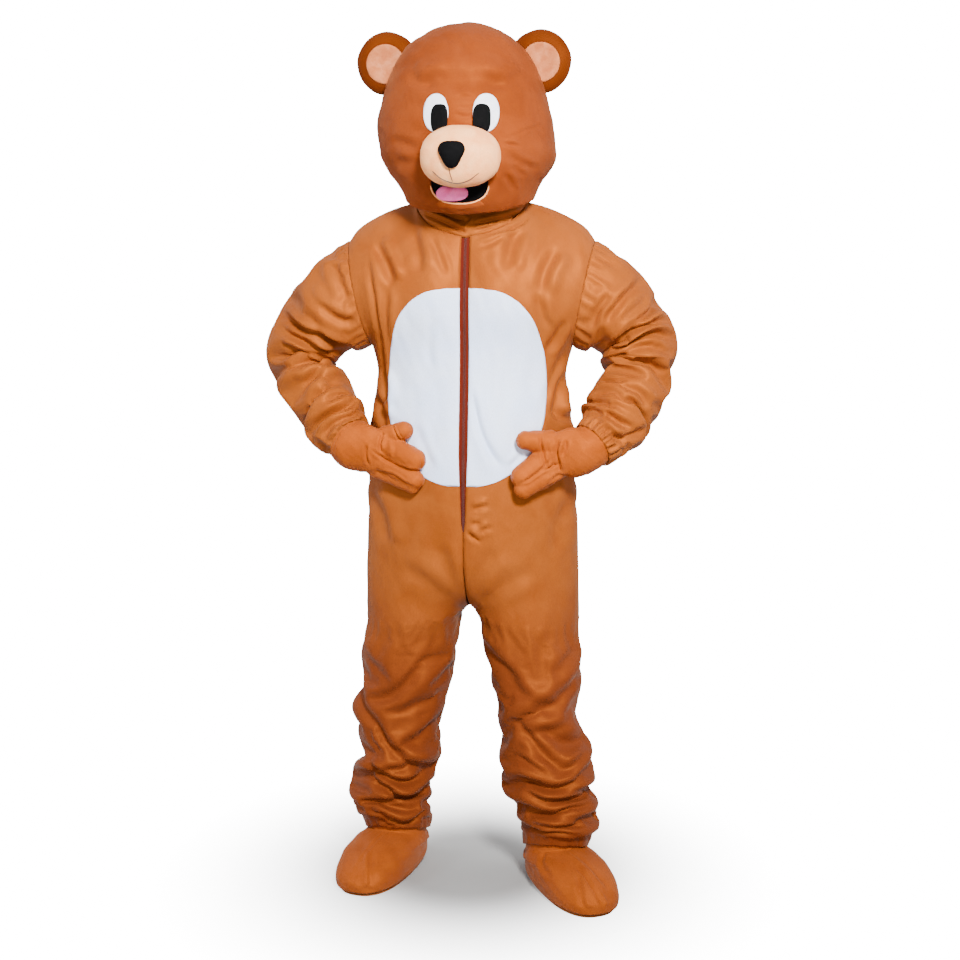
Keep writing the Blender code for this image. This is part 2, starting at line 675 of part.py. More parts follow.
def body_half(leg, leg_folds, front):
    """Points of a quarter of the suit, neck to hem, with rows close together where the folds are."""
    u = np.array([NECK_SHARE * step / NECK_STEPS for step in range(NECK_STEPS)])
    u = np.append(u, np.linspace(NECK_SHARE, 1, PANEL_STEPS - NECK_STEPS))
    rows = [
        np.array([yoke(share, v, front) for share in u])
        for v in np.linspace(1, 0, 6)[:-1]
    ]
    heights = np.concatenate(
        [
            np.linspace(UNDERARM_Z, CROTCH_START, 8)[:-1],
            np.linspace(CROTCH_START, THIGH_Z, 6)[:-1],
            np.linspace(THIGH_Z, 0.36, 6)[:-1],
            np.linspace(0.36, HEM_Z, 21),
        ]
    )
    rows += [hem(body_row(height, leg, front, u), leg) for height in heights]
    points = np.array(rows)
    levels = points[:, :, 2]
    round_leg = (u / 2 if front else 1 - u / 2)[None, :]
    round_body = (u / 4 if front else 0.5 - u / 4)[None, :]
    in_leg = ease((THIGH_Z - levels) / 0.04)
    near_hem = ease((levels - HEM_Z - 0.012) / 0.03)
    below_yoke = ease((UNDERARM_Z - levels) / 0.06)
    return points, (
        fold_heights(leg_folds, levels, round_leg) * in_leg * near_hem
        + fold_heights(TORSO_FOLDS, levels, round_body) * below_yoke * (1 - in_leg)
    )


def join_normals(normals, points, edge, other, other_points):
    """Gives two panels the same direction wherever these edges of theirs meet."""
    meet = np.linalg.norm(points[edge] - other_points[edge], axis=-1) < 1e-5
    shared = unit(normals[edge][meet] + other[edge][meet])
    normals[edge][meet], other[edge][meet] = shared, shared


def body_quarters(side, leg, leg_folds):
    """The front and back panels of one side as outer and inner grids, front first."""
    front, front_folds = body_half(leg, leg_folds, True)
    back, back_folds = body_half(leg, leg_folds, False)
    normals, back_normals = grid_normals(front, ring=False), -grid_normals(back, ring=False)
    for edge in (np.s_[:, -1], np.s_[:, 0], np.s_[0]):
        join_normals(normals, front, edge, back_normals, back)
    panels = []
    for points, outward, lifted, is_front in (
        (front, normals, front_folds, True),
        (back, back_normals, back_folds, False),
    ):
        at_centre = points[:, 0, 2] > CROTCH_START - 0.001
        outward[at_centre, 0, 0] = 0
        outward = unit(outward)
        outer = points + outward * lifted[..., None]
        inward = outward * CLOTH
        for edge, beside in ((0, 1), (-1, -2)):
            outer[:, edge] += unit(outer[:, beside] - outer[:, edge]) * SEAM_GAP / 2
        gaps = [zip_half_gap(point[2]) if is_front else SEAM_GAP / 2 for point in outer[:, 0]]
        outer[:, 0, 0] = np.maximum(outer[:, 0, 0], gaps)
        outer[0] += unit(outer[1] - outer[0]) * SEAM_GAP / 2
        for grid in (outer, inward):
            grid[..., 0] *= side
        panels.append((outer, outer - inward))
    return panels


# ---------------------------------------------------------------- sleeves
def tube_frames(table, count):
    """Centres, radii and frames down a sleeve. The first frame axis points up and out, the next ahead."""
    shares = np.linspace(0, 1, count)
    centres = np.stack(
        [table.at("out", shares), -table.at("ahead", shares), table.at("height", shares)], axis=1
    )
    along = unit(np.gradient(centres, axis=0))
    outward = np.array([0.55, 0.0, 0.85])
    tops = unit(outward - (along @ outward)[:, None] * along)
    turn_out = ease((shares - 0.25) / 0.3)[:, None]
    elbow = np.array([1.0, 0.0, 0.1])
    tops = unit(tops * (1 - turn_out) + turn_out * (elbow - (along @ elbow)[:, None] * along))
    ahead = unit(np.cross(tops, along))
    ahead *= np.sign(-ahead[:, 1:2])
    lengths = np.concatenate([[0], np.cumsum(np.linalg.norm(np.diff(centres, axis=0), axis=1))])
    return shares, centres, table.at("radius", shares), tops, ahead, lengths


def sleeve(table, folds, side):
    """Outer and inner grids of a sleeve, from the armhole seam to its elastic cuff."""
    shares, centres, radii, tops, ahead, lengths = tube_frames(table, SLEEVE_ROWS)
    turns = np.arange(SLEEVE_STEPS) / SLEEVE_STEPS
    swing = 2 * math.pi * turns
    up, forward = -np.cos(swing), np.sin(swing)
    tube = (
        centres[:, None]
        + radii[:, None, None]
        * (up[None, :, None] * tops[:, None] + forward[None, :, None] * ahead[:, None])
    )
    opening = np.array(
        [
            armhole(2 * turn, True) if turn <= 0.5 else armhole(2 - 2 * turn, False)
            for turn in turns
        ]
    )
    seam = opening + np.array([ARMHOLE_GAP, 0, 0])
    leave = (1 - ease(shares / 0.26))[:, None, None]
    points = tube * (1 - leave) + (seam[None] + centres[:, None] - centres[0]) * leave
    normals = grid_normals(points, ring=True)
    faded = (ease(lengths / 0.05) * ease((lengths[-1] - 0.028 - lengths) / 0.02))[:, None]
    lifted = fold_heights(folds, lengths[:, None], turns[None, :]) * faded
    outer = points + normals * lifted[..., None]
    inward = normals * CLOTH
    for grid in (outer, inward):
        grid[..., 0] *= side
    return outer, outer - inward


# ---------------------------------------------------------------- what lies on the suit
def build_patch(worn, white, word, side, outer, inner):
    """Half of the belly patch: the front panel's own surface, moved out and trimmed to its outline."""
    levels = outer[:, :, 2]
    near = (levels.max(axis=1) > PATCH_FOOT - 0.07) & (levels.min(axis=1) < PATCH_TOP + 0.07)
    outer, outward = outer[near], unit(outer - inner)[near]
    low, high = outer + outward * LIFT, outer + outward * (LIFT + PATCH_CLOTH)
    order = slice(None, None, side)
    patch = finish(f"patch_{word}", wall(high[:, order], low[:, order], False), white, worn)
    rim = [(row["out"], row["height"]) for row in PATCH]
    zip_side = [
        (zip_half_gap(height) + PATCH_SETBACK, height)
        for height in np.linspace(PATCH_FOOT, PATCH_TOP, 6)
    ]
    outline = prism(
        f"patch_outline_{word}", [(side * x, z) for x, z in rim + zip_side], -0.30, -0.02
    )
    outline.parent = worn
    cut(patch, outline, "INTERSECT")


def zip_strip(front):
    """The closed zip and its tape, behind the edges of the front panels."""
    edge = front[:, 0]
    between = (edge[:, 2] > ZIP_FOOT) & (edge[:, 2] < ZIP_TOP - 0.01)
    heights = np.concatenate([[ZIP_TOP - 0.004], edge[between, 2], [ZIP_FOOT - 0.004]])
    depths = np.interp(-heights, -edge[:, 2], edge[:, 1])
    across = np.linspace(-1, 1, 3) * (ZIP_HALF_GAP + ZIP_UNDER)
    outer = np.array(
        [
            [(out, depth + CLOTH + ZIP_BEHIND, height) for out in across]
            for height, depth in zip(heights, depths)
        ]
    )
    return outer, outer + np.array([0, ZIP_TAPE, 0])


def collar_grids():
    """The standing collar: its foot is the neck seam and its top goes up inside the head."""
    turns = [NECK_SIDE * step / NECK_STEPS for step in range(NECK_STEPS)]
    turns += [NECK_SIDE + (1 - NECK_SIDE) * step / NECK_STEPS for step in range(NECK_STEPS + 1)]
    half = np.array([neck_point(turn) for turn in turns])
    other = half[-2:0:-1] * np.array([-1, 1, 1])
    foot = np.concatenate([half, other])
    top_middle = np.array([0.0, -0.018, 0])
    flat = foot - top_middle
    drawn_in = top_middle + flat * 0.86
    lean = np.clip((foot[:, 1] + 0.10) / 0.19, 0, 1)
    drawn_in[:, 2] = foot[:, 2] + COLLAR_HEIGHT * (1 - 0.45 * ease(lean))
    rows = []
    for share in (1.0, 0.66, 0.33, 0.0):
        row = foot * (1 - share) + drawn_in * share
        row += unit(flat * np.array([1, 1, 0])) * 0.003 * math.sin(math.pi * share)
        rows.append(row)
    outer = np.array(rows)
    outer[-1] += unit(outer[-2] - outer[-1]) * COLLAR_GAP
    return outer, outer - grid_normals(outer, ring=True) * CLOTH


# ---------------------------------------------------------------- the head
def head_grid(grown=0.0):
    """Rows of the head's outside from the crown to its lower edge; columns from the front, to the left."""
    turns = 2 * math.pi * np.arange(HEAD_STEPS) / HEAD_STEPS
    rows = []
    for share in np.concatenate([np.linspace(0, 0.12, 3), np.linspace(0.2, 1, 14)]):
        height, out, half_width, front, back, chin = (
            HEAD.at(name, share) for name in HEAD.names[1:]
        )
        depth = np.where(np.cos(turns) > 0, front, back)
        droop = chin * np.clip(np.cos(turns), 0, 1) ** 1.4
        rows.append(
            np.stack(
                [
                    out + half_width * np.sin(turns),
                    -HEAD_AHEAD - depth * np.cos(turns),
                    height - droop,
                ],
                axis=1,
            )
        )
    grid = np.array(rows)
    normals = grid_normals(grid, ring=True)
    normals[0] = (0, 0, 1)
    return grid + normals * grown


def head_block(grown, name):
    """The head's outside as a solid, for cutting what is set on it."""
    grid = head_grid(grown)
    built = bmesh.new()
    rows = [[built.verts.new(point) for point in row] for row in grid]
    for i in range(len(rows) - 1):
        for j in range(HEAD_STEPS):
            k = (j + 1) % HEAD_STEPS
            built.faces.new([rows[i][j], rows[i + 1][j], rows[i + 1][k], rows[i][k]])
    built.faces.new(rows[-1])
    bmesh.ops.remove_doubles(built, verts=built.verts, dist=1e-6)
    mesh = bpy.data.meshes.new(name)
    built.to_mesh(mesh)
    built.free()
    made = bpy.data.objects.new(name, mesh)
    bpy.context.scene.collection.objects.link(made)
    return made


def mouth_outline(angle):
    """The open mouth from its centre: a shallow bowl whose top is under the muzzle."""
    c, s = math.cos(angle), math.sin(angle)
    centre = MOUTH["corner"]
    height = (MOUTH["top"] - centre) if s > 0 else (centre - MOUTH["bottom"])
    return (
        MOUTH["half_width"] * math.copysign(abs(c) ** 0.8, c),
        height * math.copysign(abs(s) ** 0.9, s),
    )


def prism(name, outline, near, far):
    """A cutter with straight sides along Y, from points (x, z)."""
    built = bmesh.new()
    spokes = len(outline)
    ends = [[built.verts.new((x, depth, z)) for x, z in outline] for depth in (near, far)]
    built.faces.new(ends[0])
    built.faces.new(ends[1][::-1])
    for spoke in range(spokes):
        after = (spoke + 1) % spokes
        built.faces.new([ends[0][spoke], ends[1][spoke], ends[1][after], ends[0][after]])
    bmesh.ops.recalc_face_normals(built, faces=built.faces)
    mesh = bpy.data.meshes.new(name)
    built.to_mesh(mesh)
    built.free()
    made = bpy.data.objects.new(name, mesh)
    bpy.context.scene.collection.objects.link(made)
    return made


# ---------------------------------------------------------------- mittens and boots
def tube(name, centres, across, deep, side_way, sides, rounded):
    """A closed solid of elliptical sections along a line. side_way is about the first radius's direction."""
    centres = np.array(centres, float)
    along = unit(np.gradient(centres, axis=0))
    side_way = np.array(side_way, float)
    first = unit(side_way - (along @ side_way)[:, None] * along)
    second = np.cross(along, first)
    rows = []
    if rounded:
        for sink in (0.94, 0.62):
            back = centres[0] - along[0] * across[0] * sink
            rows.append((back, math.sqrt(1 - sink**2), 0))
    rows += [(centre, 1.0, i) for i, centre in enumerate(centres)]
    if rounded:
        for rise in (0.62, 0.94):
            ahead = centres[-1] + along[-1] * across[-1] * rise
            rows.append((ahead, math.sqrt(1 - rise**2), len(centres) - 1))
    built = bmesh.new()
    rings = []
    for centre, scale, i in rows:
        ring = []
        for k in range(sides):
            angle = 2 * math.pi * k / sides
            offset = first[i] * across[i] * math.cos(angle) + second[i] * deep[i] * math.sin(angle)
            ring.append(built.verts.new(centre + offset * scale))
        rings.append(ring)
    for ring, after in zip(rings, rings[1:]):
        for k in range(sides):
            n = (k + 1) % sides
            built.faces.new([ring[k], ring[n], after[n], after[k]])
    built.faces.new(rings[0][::-1])
    built.faces.new(rings[-1])
    bmesh.ops.recalc_face_normals(built, faces=built.faces)
    mesh = bpy.data.meshes.new(name)
    built.to_mesh(mesh)
    built.free()
    made = bpy.data.objects.new(name, mesh)
    bpy.context.scene.collection.objects.link(made)
    return made


def mitt_solids(name, side, palm, lobes, shrink, reach):
    """A palm and its lobes, smaller all round by shrink; the palm reaches further out of the cuff."""
    rows = list(palm)
    centres = [np.array([side * row["out"], -row["ahead"], row["height"]]) for row in rows]
    centres[0] = centres[0] + unit(centres[0] - centres[1]) * reach
    across = [row["across"] - shrink for row in rows]
    deep = [row["deep"] - shrink for row in rows]
    solids = [tube(f"{name}_palm", centres, across, deep, (side * 0.25, 0, 1), PALM_STEPS, False)]
    for number, row in enumerate(lobes):
        start = (side * row["out"], -row["ahead"], row["height"])
        end = (side * row["tip_out"], -row["tip_ahead"], row["tip_height"])
        radii = [row["root_radius"] - shrink, row["tip_radius"] - shrink]
        lobe = f"{name}_lobe_{number}"
        solids.append(tube(lobe, [start, end], radii, radii, (0, 0, 1), LOBE_STEPS, True))
    return solids


def build_mitt(worn, cloth, word, side, palm, lobes):
    outer = mitt_solids(f"outside_{word}", side, palm, lobes, 0.0, 0.0)
    inner = mitt_solids(f"inside_{word}", side, palm, lobes, MITT_CLOTH, MITT_CUT_PAST)
    mitt = outer[0]
    mitt.name = f"mitt_{word}"
    mitt.parent = worn
    mitt.data.materials.append(cloth)
    for other in outer[1:]:
        cut(mitt, other, "UNION")
    for other in inner:
        cut(mitt, other)
    for other in outer[1:] + inner:
        other.parent = worn
    mitt.data.shade_smooth()


def boot_row(row, foot, steps, drawn_in=0.0):
    """One ring of a boot cover, from the toe round by the wearer's left; drawn_in makes it smaller."""
    turned = math.radians(foot["turned"]) * foot["side"]
    forward = np.array([math.sin(turned), -math.cos(turned), 0.0])
    beside = np.array([math.cos(turned), math.sin(turned), 0.0])
    ankle = np.array([foot["side"] * foot["out"], -foot["ahead"], 0.0])
    middle, reach = (row["toe"] - row["heel"]) / 2, (row["toe"] + row["heel"]) / 2
    narrow = 0.30 * middle / reach
    points = []
    for step in range(steps):
        angle = 2 * math.pi * step / steps
        c, s = math.cos(angle), math.sin(angle)
        ahead = middle + (reach - drawn_in) * math.copysign(abs(c) ** row["blunt"], c)
        width = (row["half_width"] - drawn_in) * (1 - narrow * (0.5 - 0.5 * c))
        out = width * math.copysign(abs(s) ** row["blunt"], s)
        height = row["height"] + row["tilt"] * ahead
        points.append(ankle + forward * ahead + beside * out + np.array([0, 0, height]))
    return points


def build_boot(worn, cloth, sole_cloth, word, foot):
    steps = BOOT_STEPS
    outer = np.array([boot_row(row, foot, steps) for row in BOOT])
    inner = outer - grid_normals(outer, ring=True) * BOOT_CLOTH
    inner[-1, :, 2] = outer[-1, :, 2]
    finish(f"boot_{word}", wall(outer, inner, True), cloth, worn)
    last = list(BOOT)[-1]
    built = bmesh.new()
    rings = []
    for height, drawn_in in ((0.0, 0.001), (SOLE, 0.0)):
        row = {**last, "height": height}
        rings.append([built.verts.new(point) for point in boot_row(row, foot, steps, drawn_in)])
    for k in range(steps):
        n = (k + 1) % steps
        built.faces.new([rings[0][k], rings[0][n], rings[1][n], rings[1][k]])
    built.faces.new(rings[0][::-1])
    built.faces.new(rings[1])
    bmesh.ops.recalc_face_normals(built, faces=built.faces)
    finish(f"sole_{word}", built, sole_cloth, worn)


# ---------------------------------------------------------------- the face
def muzzle_edge(x):
    """The height of the muzzle's upper edge over a place across the face."""
    share = min(abs(x - FACE_OUT) / MUZZLE["half_width"], 1.0)
    return MUZZLE["height"] + MUZZLE["half_height"] * math.sqrt(1 - share**2)


def above_muzzle(outline, centre):
    """An outline whose foot is cut off along the muzzle."""

    def cut_outline(angle):
        x, z = outline(angle)
        return x, max(z, muzzle_edge(centre[0] + x) + 0.003 - centre[1])

    return cut_outline


def nose_outline(angle):
    """A rounded triangle that points down."""
    radius = 1 + 0.13 * math.sin(3 * angle) - 0.03 * math.cos(2 * angle)
    return (
        NOSE["half_width"] * radius * math.cos(angle),
        NOSE["half_height"] * radius * math.sin(angle),
    )


def build_eyes(worn, white, black):
    face = tree_of(head_grid(), ring=True)
    for side, word in ((1, "left"), (-1, "right")):
        centre = (FACE_OUT + side * EYE["out"], EYE["height"])
        shape = above_muzzle(oval(EYE["half_width"], EYE["half_height"]), centre)
        eye = pad(face, HEAD_CENTRE, centre, shape, 3, 16, dome(EYE_PAD, 0.001, 4))
        finish(f"eye_{word}", eye, white, worn)
        centre = (FACE_OUT + side * PUPIL["out"], PUPIL["height"])
        shape = above_muzzle(oval(PUPIL["half_width"], PUPIL["half_height"]), centre)
        front, back = (
            lambda share: EYE_PAD + 2 * LIFT + PUPIL_PAD * (1 - 0.5 * share**3),
            lambda share: EYE_PAD + 2 * LIFT,
        )
        pupil = pad(face, HEAD_CENTRE, centre, shape, 2, 14, front, back)
        finish(f"pupil_{word}", pupil, black, worn)


def build_muzzle(worn, cream, black):
    face = tree_of(head_grid(), ring=True)
    centre = (FACE_OUT, MUZZLE["height"])
    shape = oval(MUZZLE["half_width"], MUZZLE["half_height"], 0.92)
    muzzle = pad(
        face, HEAD_CENTRE, centre, shape, 6, 18, dome(MUZZLE["stands"]), lambda share: MUZZLE_LIFT
    )
    points = [tuple(vert.co) for vert in muzzle.verts]
    surface = BVHTree.FromBMesh(muzzle)
    finish("muzzle", muzzle, cream, worn)
    middle = np.array(points).mean(axis=0)
    centre = (FACE_OUT - 0.008, NOSE["height"])
    nose = pad(surface, middle, centre, nose_outline, 3, 16, dome(NOSE["stands"], 0.002))
    finish("nose", nose, black, worn)


def build_mouth(worn, black, cream, pink):
    face = tree_of(head_grid(), ring=True)
    centre = (MOUTH["out"], MOUTH["corner"])

    def wider(angle):
        x, z = mouth_outline(angle)
        return LINING_GROWN * x, LINING_GROWN * z

    def dish(share):
        return -(HEAD_SHELL + LIFT) - MOUTH_DEPTH * (1 - share**2)

    lining = pad(face, HEAD_CENTRE, centre, wider, 3, 16, dish, lambda share: dish(share) - LINING)
    finish("mouth_lining", lining, black, worn)
    centre = (MOUTH["out"] + TONGUE["out"], TONGUE["height"])
    shape = oval(TONGUE["half_width"], TONGUE["half_height"], 0.85)
    top = dome(TONGUE["stands"], 0.003)
    front, back = lambda share: top(share) - TONGUE["sunk"], lambda share: -TONGUE["foot"]
    tongue = pad(face, HEAD_CENTRE, centre, shape, 3, 14, front, back)
    finish("tongue", tongue, pink, worn)
    path = []
    for step in range(13):
        x, z = mouth_outline(-math.pi * (0.04 + 0.92 * step / 12))
        x, z = MOUTH["out"] + RIM_GROWN * x, MOUTH["corner"] + RIM_GROWN * z
        place, out = lay(face, x, z, HEAD_CENTRE)
        path.append(place + out * (RIM_RADIUS + 1.5 * LIFT))
    radii = [RIM_RADIUS] * len(path)
    rim = tube("mouth_rim", path, radii, radii, (0, -1, 0.3), 6, False)
    rim.data.materials.append(cream)
    rim.data.shade_smooth()
    rim.parent = worn


def build_ears(worn, plush, pink):
    grown = head_block(LIFT, "head_shape")
    grown.parent = worn
    for side, word in ((1, "left"), (-1, "right")):
        centre = np.array([EARS_OUT + side * EAR["out"], -EAR["ahead"], EAR["height"]])
        built = bmesh.new()
        skins = []
        for way in (-1, 1):
            skin = []
            for share in (0.0, 0.45, 0.78, 0.94, 1.0):
                depth = EAR["half_depth"] * (0.12 + 0.88 * math.sqrt(1 - share**3))
                count = EAR_STEPS if share else 1
                skin.append(
                    [
                        built.verts.new(
                            centre
                            + np.array(
                                [
                                    EAR["radius"] * share * math.cos(2 * math.pi * k / EAR_STEPS),
                                    way * depth,
                                    EAR["radius"] * share * math.sin(2 * math.pi * k / EAR_STEPS),
                                ]
                            )
                        )
                        for k in range(count)
                    ]
                )
            skins.append(skin)
        close_pad(built, skins)
        surface = BVHTree.FromBMesh(built)
        cut(finish(f"ear_{word}", built, plush, worn), grown)
        at = (centre[0] + side * EAR_LINING["out"], centre[2] + EAR_LINING["height"])
        shape = oval(EAR_LINING["radius"], EAR_LINING["radius"])
        middle = centre + np.array([0, 0.20, 0])
        front = dome(EAR_LINING["stands"], 0.001, 4, LINING_LIFT)
        lining = pad(surface, middle, at, shape, 2, 16, front, lambda share: LINING_LIFT)
        cut(finish(f"ear_lining_{word}", lining, pink, worn), grown)


def build_head(worn, plush):
    outer = head_grid()
    inner = head_grid(-HEAD_SHELL)
    head = finish("head", wall(outer, inner, True, pole=True), plush, worn)
    spokes = [mouth_outline(2 * math.pi * spoke / 24) for spoke in range(24)]
    points = [(MOUTH["out"] + x, MOUTH["corner"] + z) for x, z in spokes]
    mouth = prism("mouth_hole", points, -0.34, -0.10)
    mouth.parent = worn
    cut(head, mouth)


# ---------------------------------------------------------------- build
def clear_scene():
    for obj in list(bpy.data.objects):
        bpy.data.objects.remove(obj)


def build_suit(worn, plush, white, brown):
    for side, word, leg, leg_folds in (
        (1, "left", LEFT_LEG, LEFT_LEG_FOLDS),
        (-1, "right", RIGHT_LEG, RIGHT_LEG_FOLDS),
    ):
        panels = body_quarters(side, leg, leg_folds)
        for part, way, (outer, inner) in zip(("front", "back"), (side, -side), panels):
            order = slice(None, None, way)
            finish(f"{part}_{word}", wall(outer[:, order], inner[:, order], False), plush, worn)
        build_patch(worn, white, word, side, *panels[0])
    outer, inner = zip_strip(panels[0][0])
    finish("zip", wall(outer, inner, False), brown, worn)
    for side, word, table, folds in (
        (1, "left", LEFT_SLEEVE, LEFT_SLEEVE_FOLDS),
        (-1, "right", RIGHT_SLEEVE, RIGHT_SLEEVE_FOLDS),
    ):
        outer, inner = sleeve(table, folds, side)
        order = slice(None, None, side)
        finish(f"sleeve_{word}", wall(outer[:, order], inner[:, order], True), plush, worn)
    finish("collar", wall(*collar_grids(), True), plush, worn)


def main():
    clear_scene()
    worn = bpy.data.objects.new("worn", None)
    worn.location = (0, 0, -SHOULDER_HEIGHT)
    bpy.context.scene.collection.objects.link(worn)
    plush = material("plush_brown", PLUSH_BROWN, 0.8)
    mitt_plush = material("mitt_plush", MITT_BROWN, 0.8)
    cream = material("cream_plush", CREAM, 0.8)
    pink = material("ear_pink", EAR_PINK, 0.8)
    white = material("white_plush", WHITE, 0.8)
    black = material("black_felt", BLACK, 0.7)
    tongue_pink = material("tongue_pink", TONGUE_PINK, 0.7)
    zip_brown = material("zip_brown", ZIP_BROWN, 0.6)
    sole_cloth = material("sole_cloth", SOLE_BROWN, 0.8)
    build_suit(worn, plush, white, zip_brown)
    build_head(worn, plush)
    build_ears(worn, plush, pink)
    build_eyes(worn, white, black)
    build_muzzle(worn, cream, black)
    build_mouth(worn, black, cream, tongue_pink)
    build_mitt(worn, mitt_plush, "left", 1, LEFT_PALM, LEFT_MITT)
    build_mitt(worn, mitt_plush, "right", -1, RIGHT_PALM, RIGHT_MITT)
    build_boot(worn, mitt_plush, sole_cloth, "left", LEFT_FOOT)
    build_boot(worn, mitt_plush, sole_cloth, "right", RIGHT_FOOT)


main()
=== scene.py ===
"""Looks of a bear mascot costume: plush head, zipped jumpsuit, mittens and boot covers.

Lengths are metres. Heights are written from the soles up, and a finished mesh is lowered so that
the shoulder line, where the costume is carried, lies at the origin. The costume faces -Y, and
"left" is its wearer's left, at +X.
"""

import logging
import math
from collections.abc import Callable, Iterator, Sequence
from dataclasses import dataclass, field
from enum import Enum

import bmesh
import bpy
import numpy as np
from bmesh.types import BMEdge, BMesh, BMVert
from mathutils import Matrix, Vector
from mathutils.bvhtree import BVHTree

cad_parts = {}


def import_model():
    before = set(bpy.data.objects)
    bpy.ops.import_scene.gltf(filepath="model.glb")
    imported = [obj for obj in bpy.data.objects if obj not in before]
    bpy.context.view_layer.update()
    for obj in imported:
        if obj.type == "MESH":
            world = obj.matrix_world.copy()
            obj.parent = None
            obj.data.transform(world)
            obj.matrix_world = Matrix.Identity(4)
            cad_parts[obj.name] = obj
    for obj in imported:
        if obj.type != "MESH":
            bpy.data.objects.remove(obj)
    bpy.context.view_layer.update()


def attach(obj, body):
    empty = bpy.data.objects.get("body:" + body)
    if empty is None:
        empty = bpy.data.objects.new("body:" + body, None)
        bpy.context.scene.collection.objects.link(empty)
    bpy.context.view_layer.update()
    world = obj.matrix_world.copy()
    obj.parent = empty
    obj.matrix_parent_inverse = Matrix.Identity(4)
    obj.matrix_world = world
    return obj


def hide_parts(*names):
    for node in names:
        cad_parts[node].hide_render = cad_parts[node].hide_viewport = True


log = logging.getLogger("bear_costume")

SHOULDER_HEIGHT = 1.398
PLUSH = 0.002  # short pile plush on its knitted backing
HEAD_SHELL = 0.004  # plush over foam
MITT_PLUSH = 0.0024
BOOT_PLUSH = 0.0025
PATCH_PLUSH = 0.0014
LIFT = 0.0008  # of a piece that lies on another
SEAM_GAP = 0.0004
ARMHOLE_GAP = 0.0002
SEWN_CLOSER = 1e-5  # points nearer than this are one
TURN = 2 * math.pi
SIDES = ((1, "left"), (-1, "right"))  # the wearer's

Pair = tuple[float, float]


# ---------------------------------------------------------------- tables and small geometry
class Table:
    """Rows under named columns, read on a smooth curve along the first one."""

    def __init__(self, names: str, *rows: Sequence[float]) -> None:
        """Keeps the columns.

        Args:
            names: the columns' names, with spaces between them.
            rows: one sequence of numbers a row, in millimetres, or thousandths of a share, a turn or a slope.
        """
        self.names = names.split()
        self.rows = np.array(rows, float) / 1000

    def __iter__(self) -> Iterator[dict[str, float]]:
        """Each row as a dict."""
        return (dict(zip(self.names, row)) for row in self.rows)

    def at(self, name: str, where: float | np.ndarray) -> np.ndarray:
        """Reads a column with no overshoot between its rows.

        Args:
            name: the column.
            where: places along the first column.

        Returns:
            The column's values there.
        """
        x, y = self.rows[:, 0], self.rows[:, self.names.index(name)]
        if x[0] > x[-1]:
            x, y = x[::-1], y[::-1]
        steps, rises = np.diff(x), np.diff(y) / np.diff(x)
        slopes = np.concatenate([rises[:1], np.zeros(len(x) - 2), rises[-1:]])
        before, after = steps[:-1] + 2 * steps[1:], 2 * steps[:-1] + steps[1:]
        with np.errstate(divide="ignore", invalid="ignore"):
            mean = (before + after) / (before / rises[:-1] + after / rises[1:])
        slopes[1:-1] = np.where(rises[:-1] * rises[1:] > 0, mean, 0.0)
        where = np.clip(where, x[0], x[-1])
        i = np.clip(np.searchsorted(x, where, side="right") - 1, 0, len(x) - 2)
        t = (where - x[i]) / steps[i]
        rise = y[i + 1] - y[i]
        curve = rise * t * t * (3 - 2 * t)
        return y[i] + curve + steps[i] * (slopes[i] * t * (1 - t) ** 2 - slopes[i + 1] * t * t * (1 - t))


def ease(t: float | np.ndarray) -> np.ndarray:
    """A smooth step from 0 to 1."""
    t = np.clip(t, 0.0, 1.0)
    return t * t * (3 - 2 * t)


def unit(vectors: np.ndarray) -> np.ndarray:
    """The vectors at length 1."""
    return vectors / np.maximum(np.linalg.norm(vectors, axis=-1, keepdims=True), 1e-12)


def grid_normals(points: np.ndarray, ring: bool) -> np.ndarray:
    """Works out the directions out of a grid of points.

    Args:
        points: rows by columns by 3.
        ring: whether the columns close on themselves, with the first one repeated at the end.

    Returns:
        A unit vector for each point.
    """
    down = np.gradient(points, axis=0)
    across = np.gradient(points, axis=1)
    if ring:
        across[:, 0] = across[:, -1] = (points[:, 1] - points[:, -2]) / 2
    return unit(np.cross(down, across))


def turned_out(ways: np.ndarray, points: np.ndarray, centre: np.ndarray) -> np.ndarray:
    """The directions at points, all of them turned round where most point towards centre."""
    return -ways if float(np.sum(ways * (points - centre))) < 0 else ways


def ring_ways(first: np.ndarray, second: np.ndarray, sides: int) -> np.ndarray:
    """Directions round each point of a line, from first by way of second and back to first."""
    swing = np.linspace(0, TURN, sides + 1)[None, :, None]
    return np.cos(swing) * first[:, None] + np.sin(swing) * second[:, None]


def run_lengths(points: np.ndarray, axis: int) -> np.ndarray:
    """The length from each line's first point to each point, along rows (0) or columns (1)."""
    steps = np.linalg.norm(np.diff(points, axis=axis), axis=-1)
    start = np.zeros_like(np.take(steps, [0], axis=axis))
    return np.concatenate([start, np.cumsum(steps, axis=axis)], axis=axis)


def fold_heights(folds: Table, along: np.ndarray, around: np.ndarray) -> np.ndarray:
    """How far a table's large folds lift a surface at each place."""
    lifted = np.zeros(np.broadcast(along, around).shape)
    for fold in folds:
        turn = (around - fold["around"] + 0.5) % 1.0 - 0.5
        across = (along - fold["along"] - fold["slant"] * turn) / fold["width"]
        window = np.cos(np.clip(turn / fold["reach"], -0.5, 0.5) * math.pi) ** 2
        ridge = np.exp(-(across**2)) - 0.7 * np.exp(-((1.5 * (across + 1.35)) ** 2))
        lifted += fold["depth"] * window * ridge
    return lifted


